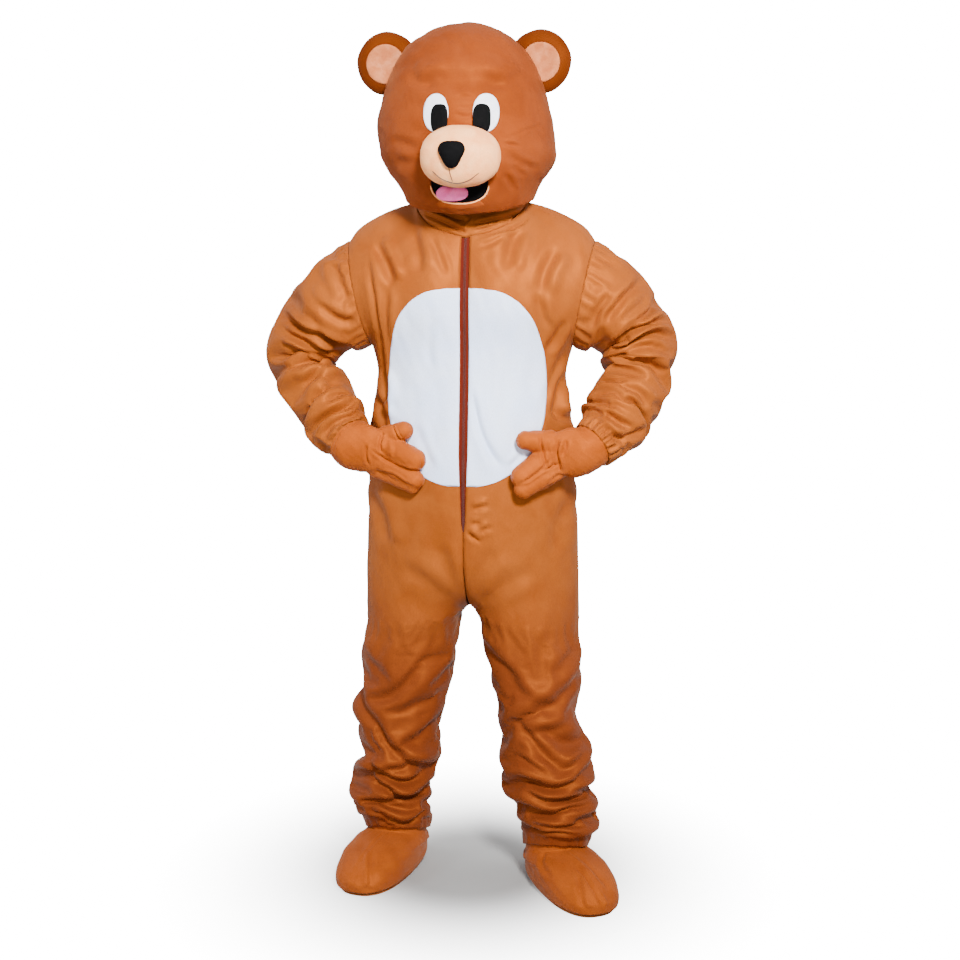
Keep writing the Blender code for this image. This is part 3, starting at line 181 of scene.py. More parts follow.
def lay(tree: BVHTree, x: float, z: float, middle: np.ndarray) -> tuple[np.ndarray, np.ndarray]:
    """Finds the front of a surface straight behind (x, z).

    Args:
        tree: the surface.
        x: place across.
        z: place up.
        middle: a point inside the piece.

    Returns:
        The point of the surface and the direction away from middle there.
    """
    hit = tree.ray_cast(Vector((x, -1.0, z)), Vector((0.0, 1.0, 0.0)))[0]
    place = np.array(hit if hit is not None else (x, 0.0, z))
    return place, unit(place - middle)


@dataclass(frozen=True)
class Crease:
    """A soft trough along a line on the front or the back of a piece, with banks beside it.

    path is the line's points (x, z). The higher bank is on the left of a walker who follows it
    with the costume's front seen from outside and z up. On a boot cover the points are (x, y),
    as on a plan of the floor.
    """

    path: tuple[Pair, ...]
    depth: float
    width: float
    bank: float = 0.9
    front: bool = True

    def line(self) -> np.ndarray:
        """The path on a smooth curve through its points."""
        points = np.array(self.path, float)
        ends = np.concatenate([[2 * points[0] - points[1]], points, [2 * points[-1] - points[-2]]])
        curve = []
        for a, b, c, d in zip(ends, ends[1:], ends[2:], ends[3:]):
            for t in np.linspace(0, 1, 7)[:-1]:
                curve.append(
                    0.5 * (2 * b + (c - a) * t + (2 * a - 5 * b + 4 * c - d) * t**2 + (3 * b - a - 3 * c + d) * t**3)
                )
        return np.array([*curve, points[-1]])

    def heights(self, points: np.ndarray, outward: np.ndarray) -> np.ndarray:
        """How far the crease moves each point outward."""
        faces = np.clip(outward[..., 1] * (-2.2 if self.front else 2.2), 0, 1)
        line = self.line()
        flat = points[..., [0, 2]]
        reach = 3.6 * self.width
        low, high = line.min(axis=0) - reach, line.max(axis=0) + reach
        near = np.all((flat > low) & (flat < high), axis=-1) & (faces > 0)
        moved = np.zeros(points.shape[:-1])
        if not near.any():
            return moved
        places = flat[near]
        lengths = run_lengths(line[:, None], 0)[:, 0]
        best = np.full(len(places), 1e9)
        side, walked = np.zeros(len(places)), np.zeros(len(places))
        for start, end, before in zip(line, line[1:], lengths):
            along = end - start
            size = max(float(np.linalg.norm(along)), 1e-9)
            t = np.clip((places - start) @ along / size**2, 0, 1)
            away = places - start - t[:, None] * along
            distance = np.linalg.norm(away, axis=1)
            closer = distance < best
            best = np.where(closer, distance, best)
            cross = along[0] * away[:, 1] - along[1] * away[:, 0]
            side = np.where(closer, np.sign(cross), side)
            walked = np.where(closer, before + t * size, walked)
        share = walked / lengths[-1]
        taper = ease(share / 0.28 + 0.12) * ease((1 - share) / 0.28 + 0.12)
        # Across the line, q widths away: a trough, a full bank on one side and a third of one on the other.
        q = best * side / self.width
        trough = -np.exp(-((1.5 * q) ** 2))
        banks = self.bank * np.exp(-(((q - 1.25) / 0.75) ** 2)) + 0.35 * self.bank * np.exp(-(((q + 1.35) / 0.8) ** 2))
        moved[near] = self.depth * taper * (trough + banks) * faces[near]
        return moved


def crease_table(front: bool, *rows: tuple[float | tuple[float, ...], ...]) -> tuple[Crease, ...]:
    """Creases from rows in millimetres.

    Args:
        front: whether they lie on the front.
        rows: each crease's depth, width and, where it isn't the usual one, bank as a first item,
            and then x and z of every point.

    Returns:
        The creases.
    """
    made = []
    for (depth, width, *bank), *numbers in rows:
        path = tuple((x / 1000, z / 1000) for x, z in zip(numbers[::2], numbers[1::2]))
        made.append(Crease(path, depth / 1000, width / 1000, *bank, front=front))
    return tuple(made)


def crease_heights(creases: Sequence[Crease], points: np.ndarray, outward: np.ndarray) -> np.ndarray:
    """How far all the creases move each point outward."""
    moved = np.zeros(points.shape[:-1])
    for crease in creases:
        moved += crease.heights(points, outward)
    return moved


def wander(points: np.ndarray, size: tuple[float, float, float], seed: float) -> np.ndarray:
    """A smooth irregular field from -1 to 1 over points.

    Args:
        points: places, in metres.
        size: how long its waves are along x, y and z.
        seed: which of its patterns.

    Returns:
        One value a point.
    """
    p = points / np.array(size) * TURN
    x, y, z = p[..., 0], p[..., 1], p[..., 2]
    value = np.sin(x + 1.7 * np.sin(0.61 * z + seed) + 0.8 * y + seed * 1.3)
    value = value + 0.8 * np.sin(0.73 * z + 1.1 * np.sin(0.83 * x - 0.5 * seed) + 0.6 * y + seed * 2.1)
    value = value + 0.5 * np.sin(1.9 * x + 1.6 * z + 1.2 * np.sin(0.9 * z - seed) + seed * 0.7)
    return value / 2.3


# ---------------------------------------------------------------- finishes
WAVE_PERIOD = 0.314  # from one band of a wave texture to the next, at scale 1


def linear(colour: str) -> tuple[float, float, float, float]:
    """An sRGB hex colour as linear RGBA."""
    parts = [int(colour[i : i + 2], 16) / 255 for i in (1, 3, 5)]
    values = [p / 12.92 if p <= 0.04045 else ((p + 0.055) / 1.055) ** 2.4 for p in parts]
    return (*values, 1.0)


def add_node(
    tree: bpy.types.NodeTree, kind: str, inputs: dict[str, object] | None = None, **settings: object
) -> bpy.types.Node:
    """Adds a shader node.

    Args:
        tree: the node tree.
        kind: the node's type, without its ShaderNode prefix.
        inputs: values or sockets for its own sockets, as for plug.
        settings: properties of the node.

    Returns:
        The node.
    """
    made = tree.nodes.new(f"ShaderNode{kind}")
    for name, value in settings.items():
        setattr(made, name, value)
    plug(tree, made, inputs or {})
    return made


def plug(tree: bpy.types.NodeTree, node: bpy.types.Node, inputs: dict[str, object]) -> None:
    """Sets a node's sockets to values, or links other nodes' sockets to them.

    Args:
        tree: the material's or the world's node tree.
        node: the node.
        inputs: values or sockets, by the name or the number of the node's own socket.
    """
    for name, value in inputs.items():
        socket = node.inputs[int(name)] if name.isdigit() else node.inputs[name]
        if isinstance(value, bpy.types.NodeSocket):
            tree.links.new(value, socket)
        else:
            socket.default_value = value


def new_material(name: str) -> tuple[bpy.types.Material, bpy.types.NodeTree, bpy.types.Node]:
    """A fresh material with its tree and its Principled shader."""
    made = bpy.data.materials.new(name)
    made.use_nodes = True
    return made, made.node_tree, made.node_tree.nodes["Principled BSDF"]


@dataclass(frozen=True)
class Plush:
    """Short pile polyester plush, knitted, cut and brushed: soft, with a satin sheen along the pile.

    The pile is under 1 mm, too fine to show, so tuft is drawn coarser. patch is how far apart the
    places lie where a hand has brushed the pile another way. Below the knees the colour turns to a
    painted shade, a darker brown that stands in for the light falling off towards the shins.
    """

    name: str
    colour: str
    brushed: str
    deep: str
    sheen: float = 0.08
    sheen_colour: str = "#e4a478"
    roughness: float = 0.55
    satin: float = 0.55
    satin_colour: str = "#ff8a2c"
    tuft: float = 0.0016
    patch: float = 0.085
    bump: float = 0.35
    # A darker brown painted below the knees as shade; none if empty.
    painted_shin_shade: str = ""

    def make(self) -> bpy.types.Material:
        """Builds the material."""
        made, tree, shader = new_material(self.name)
        place = add_node(tree, "TexCoord").outputs["Object"]
        patches = add_node(
            tree,
            "TexNoise",
            {"Vector": place, "Scale": 1 / self.patch, "Detail": 3.0, "Roughness": 0.55, "Distortion": 0.6},
            noise_dimensions="3D",
        )
        way = add_node(tree, "ValToRGB", {"Fac": patches.outputs["Fac"]})
        ramp = way.color_ramp
        ramp.elements[0].position, ramp.elements[0].color = 0.34, linear(self.deep)
        ramp.elements[1].position, ramp.elements[1].color = 0.68, linear(self.brushed)
        ramp.elements.new(0.5).color = linear(self.colour)
        stretched = add_node(tree, "Mapping", {"Vector": place, "Scale": (1.0, 1.0, 0.45)})
        tufts = add_node(
            tree,
            "TexNoise",
            {"Vector": stretched.outputs["Vector"], "Scale": 1 / self.tuft, "Detail": 2.0, "Roughness": 0.7},
        )
        shade = add_node(
            tree,
            "MapRange",
            {"Value": tufts.outputs["Fac"], "From Min": 0.3, "From Max": 0.7, "To Min": 0.88, "To Max": 1.08},
        )
        pile = way.outputs["Color"]
        # Painted shade: from the thighs down the colour turns to the darker brown, for the light that falls off lower
        # on the legs.
        if self.painted_shin_shade:
            height = add_node(tree, "SeparateXYZ", {"Vector": place}).outputs["Z"]
            low = add_node(
                tree,
                "MapRange",
                {"Value": height, "From Min": -0.98, "From Max": -0.66, "To Min": 1.0, "To Max": 0.0},
                interpolation_type="SMOOTHSTEP",
            )
            pile = add_node(
                tree, "Mix", {"0": low.outputs["Result"], "6": pile, "7": linear(self.painted_shin_shade)}, data_type="RGBA"
            ).outputs[2]
        colour = add_node(
            tree, "Mix", {"0": 1.0, "6": pile, "7": shade.outputs["Result"]}, data_type="RGBA", blend_type="MULTIPLY"
        )
        soft = add_node(tree, "Bump", {"Strength": self.bump, "Distance": 0.0009, "Height": tufts.outputs["Fac"]})
        dressed = {
            "Base Color": colour.outputs[2],
            "Normal": soft.outputs["Normal"],
            "Roughness": self.roughness,
            "IOR": 1.46,
            "Specular IOR Level": self.satin,
            "Specular Tint": linear(self.satin_colour),
            "Sheen Weight": self.sheen,
            "Sheen Roughness": 0.45,
            "Sheen Tint": linear(self.sheen_colour),
        }
        plug(tree, shader, dressed)
        return made


@dataclass(frozen=True)
class Tape:
    """Woven polyester zip tape: a fine herringbone, dull."""

    name: str
    colour: str
    thread: str
    pitch: float = 0.0012

    def make(self) -> bpy.types.Material:
        """Builds the material."""
        made, tree, shader = new_material(self.name)
        place = add_node(tree, "TexCoord").outputs["Object"]
        weave = add_node(
            tree,
            "TexWave",
            {"Vector": place, "Scale": WAVE_PERIOD / self.pitch, "Distortion": 1.2, "Detail": 1.0},
            wave_type="BANDS",
            bands_direction="DIAGONAL",
        )
        colour = add_node(
            tree,
            "Mix",
            {"0": weave.outputs["Fac"], "6": linear(self.colour), "7": linear(self.thread)},
            data_type="RGBA",
        )
        bump = add_node(tree, "Bump", {"Strength": 0.4, "Distance": 0.0003, "Height": weave.outputs["Fac"]})
        plug(tree, shader, {"Base Color": colour.outputs[2], "Normal": bump.outputs["Normal"]})
        plug(tree, shader, {"Roughness": 0.75, "Specular IOR Level": 0.06})
        return made


@dataclass(frozen=True)
class Nylon:
    """Moulded nylon, or a thick twisted thread of it: smooth, with faint specks, of which specks fit in a metre."""

    name: str
    colour: str
    roughness: float
    specks: float = 900.0

    def make(self) -> bpy.types.Material:
        """Builds the material."""
        made, tree, shader = new_material(self.name)
        place = add_node(tree, "TexCoord").outputs["Object"]
        speck = add_node(tree, "TexNoise", {"Vector": place, "Scale": self.specks, "Detail": 1.0})
        colour = add_node(
            tree,
            "Mix",
            {"0": 0.25, "6": linear(self.colour), "7": speck.outputs["Color"]},
            data_type="RGBA",
            blend_type="MULTIPLY",
        )
        plug(tree, shader, {"Base Color": colour.outputs[2], "Roughness": self.roughness, "IOR": 1.53})
        return made


Finish = Plush | Tape | Nylon

# The suit: a warm brown with a satin bloom where the pile turns to the light, darkened at the shins by painted shade.
BROWN_PLUSH = Plush(
    "brown_short_pile_plush", "#844316", "#894719", "#7e3e13", roughness=0.5, satin=0.62, painted_shin_shade="#652d12"
)
# Drawn tight over foam: deeper and redder, with only a faint bloom.
HEAD_PLUSH = Plush("brown_plush_over_foam", "#763412", "#7b3815", "#70300f", tuft=0.0014, satin=0.35)
# The darkest brown, nearly dull, so that the ears stand off the head.
EAR_PLUSH = Plush("ear_brown_plush", "#582408", "#5e280a", "#522006", satin=0.22)
# Fleece of mittens and boot covers: more orange than the suit, with a finer nap.
MITT_FLEECE = Plush("orange_brown_fleece", "#924411", "#974814", "#8c400e", tuft=0.0012, satin=0.4)
BOOT_FLEECE = Plush("boot_brown_fleece", "#8a4115", "#8f4518", "#843d12", tuft=0.0012, satin=0.6)
# A peach cream, matt and even, the lightest warm tone of the face.
CREAM_FLEECE = Plush(
    "cream_fleece", "#f6a86c", "#f9b27a", "#f19d61", sheen_colour="#fff0dd", bump=0.2, patch=0.03, satin=0.3
)
# A dusty pink beige, matt.
EAR_FLEECE = Plush("pink_beige_fleece", "#b46a42", "#bd7650", "#a95f39", patch=0.02, satin=0.2)
# A cool white that stays white under warm light.
WHITE_PLUSH = Plush(
    "white_short_pile_plush", "#d6e3ff", "#dde8ff", "#d0dfff", sheen_colour="#ffffff", satin_colour="#ffffff"
)
# A smoother, cleaner white than the belly's.
EYE_FLEECE = Plush(
    "white_eye_fleece", "#eceffc", "#f2f5ff", "#e6e9f7", sheen_colour="#ffffff", bump=0.15, patch=0.02, satin=0.3
)
# A black that swallows light, for pupils, nose and the inside of the mouth.
BLACK_FLEECE = Plush(
    "black_fleece", "#040405", "#060607", "#030304", sheen=0.0, roughness=0.8, bump=0.3, patch=0.01, satin=0.08,
    satin_colour="#ffffff",
)
# A clear candy pink with a pale bloom.
TONGUE_FLEECE = Plush(
    "pink_fleece", "#f46eae", "#f77cba", "#ee62a3", sheen_colour="#ffd0ea", bump=0.2, patch=0.02, satin=0.2
)
# A flat, hard-wearing brown, matt.
SOLE_CLOTH = Plush("brown_sole_cloth", "#8d4f27", "#96572d", "#824722", sheen=0.05, tuft=0.001, satin=0.1)
# The zip reads as one dark, dull red-brown line; the thread as a darker one.
ZIP_TAPE = Tape("red_brown_zip_tape", "#5a180a", "#4e1408")
ZIP_COIL = Nylon("red_brown_nylon_coil", "#48140a", 0.8)
DARK_THREAD = Nylon("dark_brown_thread", "#2b1c18", 0.6)


# ---------------------------------------------------------------- making pieces
class Hold(Enum):
    """How a sheet of cloth is held."""

    DRAPED = "draped"
    GATHERED = "gathered"
    STRETCHED = "stretched"
    LAID = "laid"


@dataclass(frozen=True)
class Cut:
    """A sheet's size flat, the area of it that shows, how it is held and, where it isn't its node, by what."""

    flat: Pair
    area: float
    held: Hold
    rests_on: str = ""


def grid_mesh(points: np.ndarray, outward: np.ndarray, ring: bool) -> BMesh:
    """Shapes a grid of quads through points, with a UV map in metres that follows the cloth.

    Args:
        points: rows by columns by 3, with the first column repeated at the end of a ring.
        outward: directions out of the piece at the points.
        ring: whether the columns close on themselves.

    Returns:
        The mesh, with its faces outward.
    """
    rows, columns = points.shape[:2]
    built = bmesh.new()
    bmesh.ops.create_grid(built, x_segments=columns - 1, y_segments=rows - 1, size=1.0)
    across, down = run_lengths(points, 1).max(axis=0), run_lengths(points, 0).max(axis=1)
    cut = built.loops.layers.uv.new("cut")
    seats = {}
    for vert in built.verts:
        j = round((vert.co.x + 1) / 2 * (columns - 1))
        i = round((vert.co.y + 1) / 2 * (rows - 1))
        seats[vert.index] = (i, j)
        vert.co = points[i, j]
    for face in built.faces:
        for loop in face.loops:
            i, j = seats[loop.vert.index]
            loop[cut].uv = (across[j], down[i])
    built.normal_update()
    agree = 0.0
    for face in list(built.faces)[:: max(1, len(built.faces) // 400)]:
        i, j = seats[face.verts[0].index]
        agree += float(np.dot(face.normal, outward[i, j])) * face.calc_area()
    if agree < 0:
        bmesh.ops.reverse_faces(built, faces=built.faces)
    if ring:
        bmesh.ops.remove_doubles(built, verts=built.verts, dist=SEWN_CLOSER)
    return built


def mesh_from(name: str, built: BMesh) -> bpy.types.Mesh:
    """A mesh datablock from built, which is used up."""
    mesh = bpy.data.meshes.new(name)
    built.to_mesh(mesh)
    built.free()
    return mesh


def linked(name: str, data: bpy.types.ID) -> bpy.types.Object:
    """A new object in the scene for a mesh, a light or a camera."""
    made = bpy.data.objects.new(name, data)
    bpy.context.scene.collection.objects.link(made)
    return made


def capped(built: BMesh) -> BMesh:
    """The mesh with its open ends filled."""
    bmesh.ops.holes_fill(built, edges=[e for e in built.edges if e.is_boundary], sides=0)
    return built


def smoothed(built: BMesh, passes: int) -> None:
    """Evens out a mesh, half of the way at each pass."""
    for _ in range(passes):
        bmesh.ops.smooth_vert(built, verts=built.verts, factor=0.5, use_axis_x=True, use_axis_y=True, use_axis_z=True)


def displaced(built: BMesh, creases: Sequence[Crease], ripple: np.ndarray | float) -> None:
    """Moves a mesh's points along its normals.

    Args:
        built: the mesh.
        creases: what lifts or sinks them.
        ripple: how much further each of them goes.
    """
    built.normal_update()
    points = np.array([vert.co for vert in built.verts])
    normals = np.array([vert.normal for vert in built.verts])
    lifted = crease_heights(creases, points, normals) + ripple
    for vert, height, normal in zip(built.verts, lifted, normals):
        vert.co += Vector(normal * height)


def finer(points: np.ndarray, ring: bool) -> np.ndarray:
    """A grid with a point added between every two, on smooth curves through the grid.

    Args:
        points: rows by columns by 3.
        ring: whether the columns close on themselves, with the first one repeated at the end.

    Returns:
        The finer grid, of 2n - 1 rows and columns.
    """
    for axis in (0, 1):
        lines = np.moveaxis(points, axis, 0)
        if ring and axis == 1:
            before, after = lines[-2], lines[1]
        else:
            before, after = 2 * lines[0] - lines[1], 2 * lines[-1] - lines[-2]
        wide = np.concatenate([before[None], lines, after[None]])
        between = (9 * (wide[1:-2] + wide[2:-1]) - wide[:-3] - wide[3:]) / 16
        woven = np.empty((2 * len(lines) - 1, *lines.shape[1:]))
        woven[::2], woven[1::2] = lines, between
        points = np.moveaxis(woven, 0, axis)
    return points


def settled(
    worn: np.ndarray, cut: np.ndarray, hold: np.ndarray, bending: float, frames: int = 22, dressed: int = 11
) -> np.ndarray:
    """Pushes a tube of cloth that is cut too long into its worn form, so that it buckles, and lets it settle.

    Args:
        worn: rows by columns by 3, the form of the body in it, with the first column repeated at the end.
        cut: the same grid in a form that has the cloth's true lengths.
        hold: for each point, 1 where it is sewn fast and less where the body in it keeps it roughly in place.
        bending: how hard it is to bend.
        frames: for how long the whole of it runs.
        dressed: the frame by which it is pushed into its worn form.

    Returns:
        The grid after it has settled.
    """
    rows, columns = worn.shape[:2]
    built = grid_mesh(cut, grid_normals(cut, True), False)
    built.verts.ensure_lookup_table()
    places = built.verts.layers.int.new("place")
    for vert in built.verts:
        vert[places] = vert.index
    bmesh.ops.remove_doubles(built, verts=built.verts, dist=SEWN_CLOSER)
    mesh = mesh_from("settling", built)
    kept = np.zeros(len(mesh.vertices), int)
    mesh.attributes["place"].data.foreach_get("value", kept)
    holder, scene = linked("settling", mesh), bpy.context.scene
    holder.shape_key_add(name="cut")
    key = holder.shape_key_add(name="worn")
    key.data.foreach_set("co", worn.reshape(-1, 3)[kept].ravel())
    for value, frame in ((0.0, 1), (1.0, dressed)):
        key.value = value
        key.keyframe_insert("value", frame=frame)
    sewn = holder.vertex_groups.new(name="sewn")
    for index, weight in enumerate(hold.reshape(-1)[kept]):
        sewn.add([index], float(weight), "REPLACE")
    step = holder.modifiers.new("settling", "CLOTH")
    fabric = step.settings
    fabric.quality, fabric.mass = 6, 0.08
    fabric.tension_stiffness = fabric.compression_stiffness = 30.0
    fabric.shear_stiffness, fabric.bending_stiffness = 12.0, bending
    fabric.tension_damping = fabric.compression_damping = fabric.shear_damping = 12.0
    fabric.bending_damping, fabric.air_damping = 0.5, 2.0
    fabric.vertex_group_mass, fabric.pin_stiffness = "sewn", 1.0
    fabric.effector_weights.gravity = 0.0
    step.collision_settings.use_collision = False
    step.point_cache.frame_start, step.point_cache.frame_end = 1, frames
    for frame in range(1, frames + 1):
        scene.frame_set(frame)
    evaluated = holder.evaluated_get(bpy.context.evaluated_depsgraph_get())
    flat = np.zeros(3 * len(mesh.vertices))
    evaluated.data.vertices.foreach_get("co", flat)
    scene.frame_set(1)
    after = np.full((rows * columns, 3), np.nan)
    after[kept] = flat.reshape(-1, 3)
    after = after.reshape(rows, columns, 3)
    first = np.isnan(after[:, 0, 0])
    after[first, 0] = after[first, -1]
    after[:, -1] = after[:, 0]
    action = mesh.shape_keys.animation_data.action
    bpy.data.objects.remove(holder)
    bpy.data.meshes.remove(mesh)
    bpy.data.actions.remove(action)
    if np.isnan(after[:, :-1]).any() or np.abs(after - worn).max() > 0.06:
        log.warning("the cloth did not settle, its worn form is kept")
        return worn
    log.info("cloth settled, it moved %.1f mm at most", 1000 * np.abs(after - worn).max())
    return after


def settled_tube(
    worn: np.ndarray, centres: np.ndarray, excess: np.ndarray, wider: float, hold: np.ndarray, bending: float
) -> np.ndarray:
    """Settles a leg or a sleeve that is cut longer and wider than the form it is worn in.

    Args:
        worn: rows by columns by 3, as for settled.
        centres: the rows' centres.
        excess: how much longer it is cut at each row, as a share.
        wider: its cut width, for a worn width of 1.
        hold: how fast each row is held.
        bending: how hard it is to bend.

    Returns:
        The settled grid, worked out on every second row and column and then made as fine as worn.
    """
    steps = np.diff(centres, axis=0) * (1 + excess[1:, None])
    longer = np.concatenate([centres[:1], centres[0] + np.cumsum(steps, axis=0)])
    cut = longer[:, None] + wider * (worn - centres[:, None])
    held = np.repeat(hold[:, None], worn.shape[1], axis=1)
    coarse = np.s_[::2, ::2]
    return finer(settled(worn[coarse], cut[coarse], held[coarse], bending), True)


class Workshop:
    """Turns meshes into finished pieces of the costume."""

    def __init__(self) -> None:
        """Starts with no material made."""
        self.materials: dict[str, bpy.types.Material] = {}

    def material(self, finish: Finish) -> bpy.types.Material:
        """The finish's material, made once."""
        if finish.name not in self.materials:
            self.materials[finish.name] = finish.make()
        return self.materials[finish.name]

    def piece(
        self, name: str, built: BMesh, finish: Finish, replaces: Sequence[str] = (), thickness: float = 0.0
    ) -> bpy.types.Object:
        """Makes a piece that rides on the costume's one body.

        Args:
            name: the piece's name.
            built: its mesh, with heights from the soles; it is used up.
            finish: what it is made of.
            replaces: the CAD nodes that it stands for.
            thickness: of the cloth, inward from the mesh; 0 on a closed form.

        Returns:
            The object.
        """
        bmesh.ops.translate(built, verts=built.verts, vec=(0, 0, -SHOULDER_HEIGHT))
        mesh = mesh_from(name, built)
        mesh.shade_smooth()
        mesh.materials.append(self.material(finish))
        made = linked(name, mesh)
        if thickness:
            wall = made.modifiers.new("cloth_thickness", "SOLIDIFY")
            wall.thickness, wall.offset, wall.use_even_offset = thickness, -1.0, False
        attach(made, "root") or made
        if replaces:
            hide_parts(*replaces)
        log.info("%s: %d faces", name, len(mesh.polygons))
        return made

    def sheet(self, name: str, built: BMesh, finish: Finish, node: str, thickness: float) -> None:
        """Makes a sheet of cloth that stands for a CAD node, as piece does."""
        made = self.piece(name, built, finish, [node], thickness)

    def pad(self, name: str, built: BMesh, finish: Plush, slot: str, node: str, fill: float) -> None:
        """Makes a padded piece that stands for a CAD node, as piece does."""
        self.piece(name, built, finish, [node])


# ---------------------------------------------------------------- sizes of the cut and the pose
PATCH_SETBACK = 0.001  # of the patch from the zip's edge
ZIP_BEHIND = 0.0012  # of the tape from the panels' inside
COLLAR_HEIGHT = 0.048
COLLAR_GAP = 0.0008
HEAD_AHEAD = 0.04  # the head's centre, ahead of the shoulder line
HEM_Z = 0.082  # of the trouser hem, at its middle
HEM_TILT = 0.26  # rise of the hem from heel to instep, per metre
CROTCH_START = 0.745  # the centre seams start to curve under here
CROTCH_Z = 0.59
THIGH_Z = 0.575  # where both legs are whole tubes
CROTCH_FADED_Z = 0.5  # the rows of a leg are level from here down
UNDERARM_Z = 1.172
SHIN_Z = 0.36  # a leg's rows lie closer from here down, where it stacks up
YOKE_ROWS, BODY_ROWS, CROTCH_ROWS, THIGH_ROWS, SHIN_ROWS = 49, 71, 29, 80, 105  # of a panel's grid
ZIP_TOP = 1.412
ZIP_FOOT = 0.778
ZIP_HALF_GAP = 0.0085  # the zip's edges gape by twice this

TORSO = Table(
    "height half_width front back",
    (1172, 221.5, 130, 124),
    (1110, 207, 134, 119),
    (1055, 216, 141, 119),
    (1000, 220, 149, 124),
    (870, 230, 158, 140),
    (735, 237, 155, 157),
    (590, 240, 140, 150),
)

# out and ahead place a leg's axis; the widths are halves of the tube.
RIGHT_LEG = Table(
    "height out ahead half_width half_depth",
    (575, 121, 0, 118.5, 134),
    (540, 129, 4, 106, 127),
    (480, 144, 10, 104, 119),
    (425, 142, 14, 95, 112),
    (370, 158, 18, 96.5, 106),
    (315, 169, 22, 93, 102),
    (255, 160, 28, 86, 96),
    (200, 174, 34, 87, 92),
    (140, 180, 42, 85, 88),
    (108, 174, 48, 83, 85),
    (94, 168, 50, 75, 75.5),
    (82, 166, 51, 70.6, 70.6),
)
LEFT_LEG = Table(
    "height out ahead half_width half_depth",
    (575, 122, 4, 119.5, 134),
    (540, 131, 12, 108, 128),
    (480, 143, 26, 103, 120),
    (425, 150, 40, 97, 112),
    (370, 153, 54, 87, 105),
    (320, 162, 66, 87, 101),
    (262, 177, 80, 100, 102),
    (205, 180, 92, 93, 95),
    (155, 199, 102, 85, 88),
    (118, 204, 109, 80, 83),
    (96, 202, 111, 74, 75),
    (82, 200, 111, 70.6, 70.6),
)

# A fold is a ridge with a trough under it. along: metres of height, or down a sleeve. around: turns from
# the inner seam, 0.25 in front, 0.5 outside. slant: metres that it drops per turn. reach: turns.
FOLD_COLUMNS = "along around slant reach depth width"
RIGHT_LEG_FOLDS = Table(
    FOLD_COLUMNS,
    (520, 400, 300, 300, 5, 28),
    (455, 120, -350, 340, 6, 26),
    (400, 380, 420, 380, 9, 26),
    (352, 470, 100, 300, 12, 24),
    (330, 150, -300, 360, 8, 22),
    (292, 780, 150, 440, 9, 22),
    (262, 140, 120, 300, 12, 20),
    (236, 360, -160, 400, 13, 17),
    (205, 620, 100, 500, 11, 15),
    (184, 200, -100, 500, 11, 13),
    (160, 420, 90, 480, 10, 13),
    (150, 850, -60, 440, 9, 13),
    (130, 250, 50, 600, 8, 11),
    (118, 650, -40, 500, 7, 11),
)
LEFT_LEG_FOLDS = Table(
    FOLD_COLUMNS,
    (530, 120, -300, 300, 5, 28),
    (455, 360, 340, 360, 8, 28),
    (400, 200, 360, 340, 7, 24),
    (352, 380, -250, 360, 9, 24),
    (318, 740, 160, 440, 9, 22),
    (286, 440, 120, 340, 13, 22),
    (262, 180, 140, 340, 10, 20),
    (236, 400, -120, 440, 13, 17),
    (208, 220, 80, 520, 11, 15),
    (196, 760, 80, 440, 10, 14),
    (176, 380, -60, 560, 12, 13),
    (152, 200, 50, 560, 10, 12),
    (140, 700, -50, 520, 9, 12),
    (126, 420, -40, 600, 9, 11),
)
# On the torso around runs from the centre front at 0 by the side at 0.25 to the centre back at 0.5.
TORSO_FOLDS = Table(
    FOLD_COLUMNS,
    (985, 235, -550, 130, 7, 24),
    (925, 270, 600, 160, 6, 26),
    (850, 240, 450, 130, 4, 26),
    (1020, 400, 400, 220, 7, 30),
    (690, 400, -400, 240, 8, 32),
)

# The middle line of a sleeve, from the armhole to the wrist, and its radius.
RIGHT_SLEEVE = Table(
    "share out ahead height radius",
    (0, 244.5, 0, 1284, 104),
    (120, 286, -6, 1260, 96),
    (240, 327, -14, 1230, 86),
    (360, 364, -20, 1190, 77),
    (460, 384, -18, 1148, 72),
    (560, 372, -4, 1106, 68),
    (680, 338, 22, 1060, 64),
    (800, 301, 52, 1014, 62),
    (890, 272, 79, 982, 58),
    (945, 257, 93.5, 968, 48.5),
    (1000, 242, 106, 960, 48),
)
LEFT_SLEEVE = Table(
    "share out ahead height radius",
    (0, 244.5, 0, 1284, 104),
    (120, 284, -6, 1262, 96),
    (240, 320, -14, 1232, 86),
    (360, 350, -20, 1193, 78),
    (460, 364, -18, 1150, 74),
    (560, 360, -6, 1108, 72),
    (680, 342, 20, 1064, 71),
    (800, 321, 50, 1024, 69),
    (900, 298, 78, 992, 62),
    (955, 283, 93, 978, 56),
    (1000, 270, 104, 968, 52),
)
# Round a sleeve 0 is under the arm, 0.25 in front, 0.5 on top and outside.
RIGHT_SLEEVE_FOLDS = Table(
    FOLD_COLUMNS,
    (75, 300, 100, 360, 6, 20),
    (125, 160, -120, 360, 9, 18),
    (165, 200, 140, 440, 12, 16),
    (198, 80, -80, 500, 12, 14),
    (232, 200, 80, 460, 9, 14),
    (270, 320, -100, 500, 8, 16),
    (312, 180, 100, 460, 9, 15),
    (345, 800, -100, 500, 7, 14),
    (368, 340, 60, 600, 8, 12),
    (395, 50, -50, 600, 8, 11),
)
LEFT_SLEEVE_FOLDS = Table(
    FOLD_COLUMNS,
    (80, 260, -120, 360, 7, 20),
    (120, 340, 120, 340, 8, 17),
    (150, 160, -140, 440, 11, 15),
    (180, 240, 100, 460, 12, 14),
    (208, 100, -60, 500, 11, 13),
    (250, 300, 120, 400, 8, 15),
    (290, 780, -100, 460, 7, 15),
    (318, 200, -120, 500, 9, 14),
    (348, 360, 80, 500, 8, 12),
    (372, 80, 50, 600, 8, 11),
)

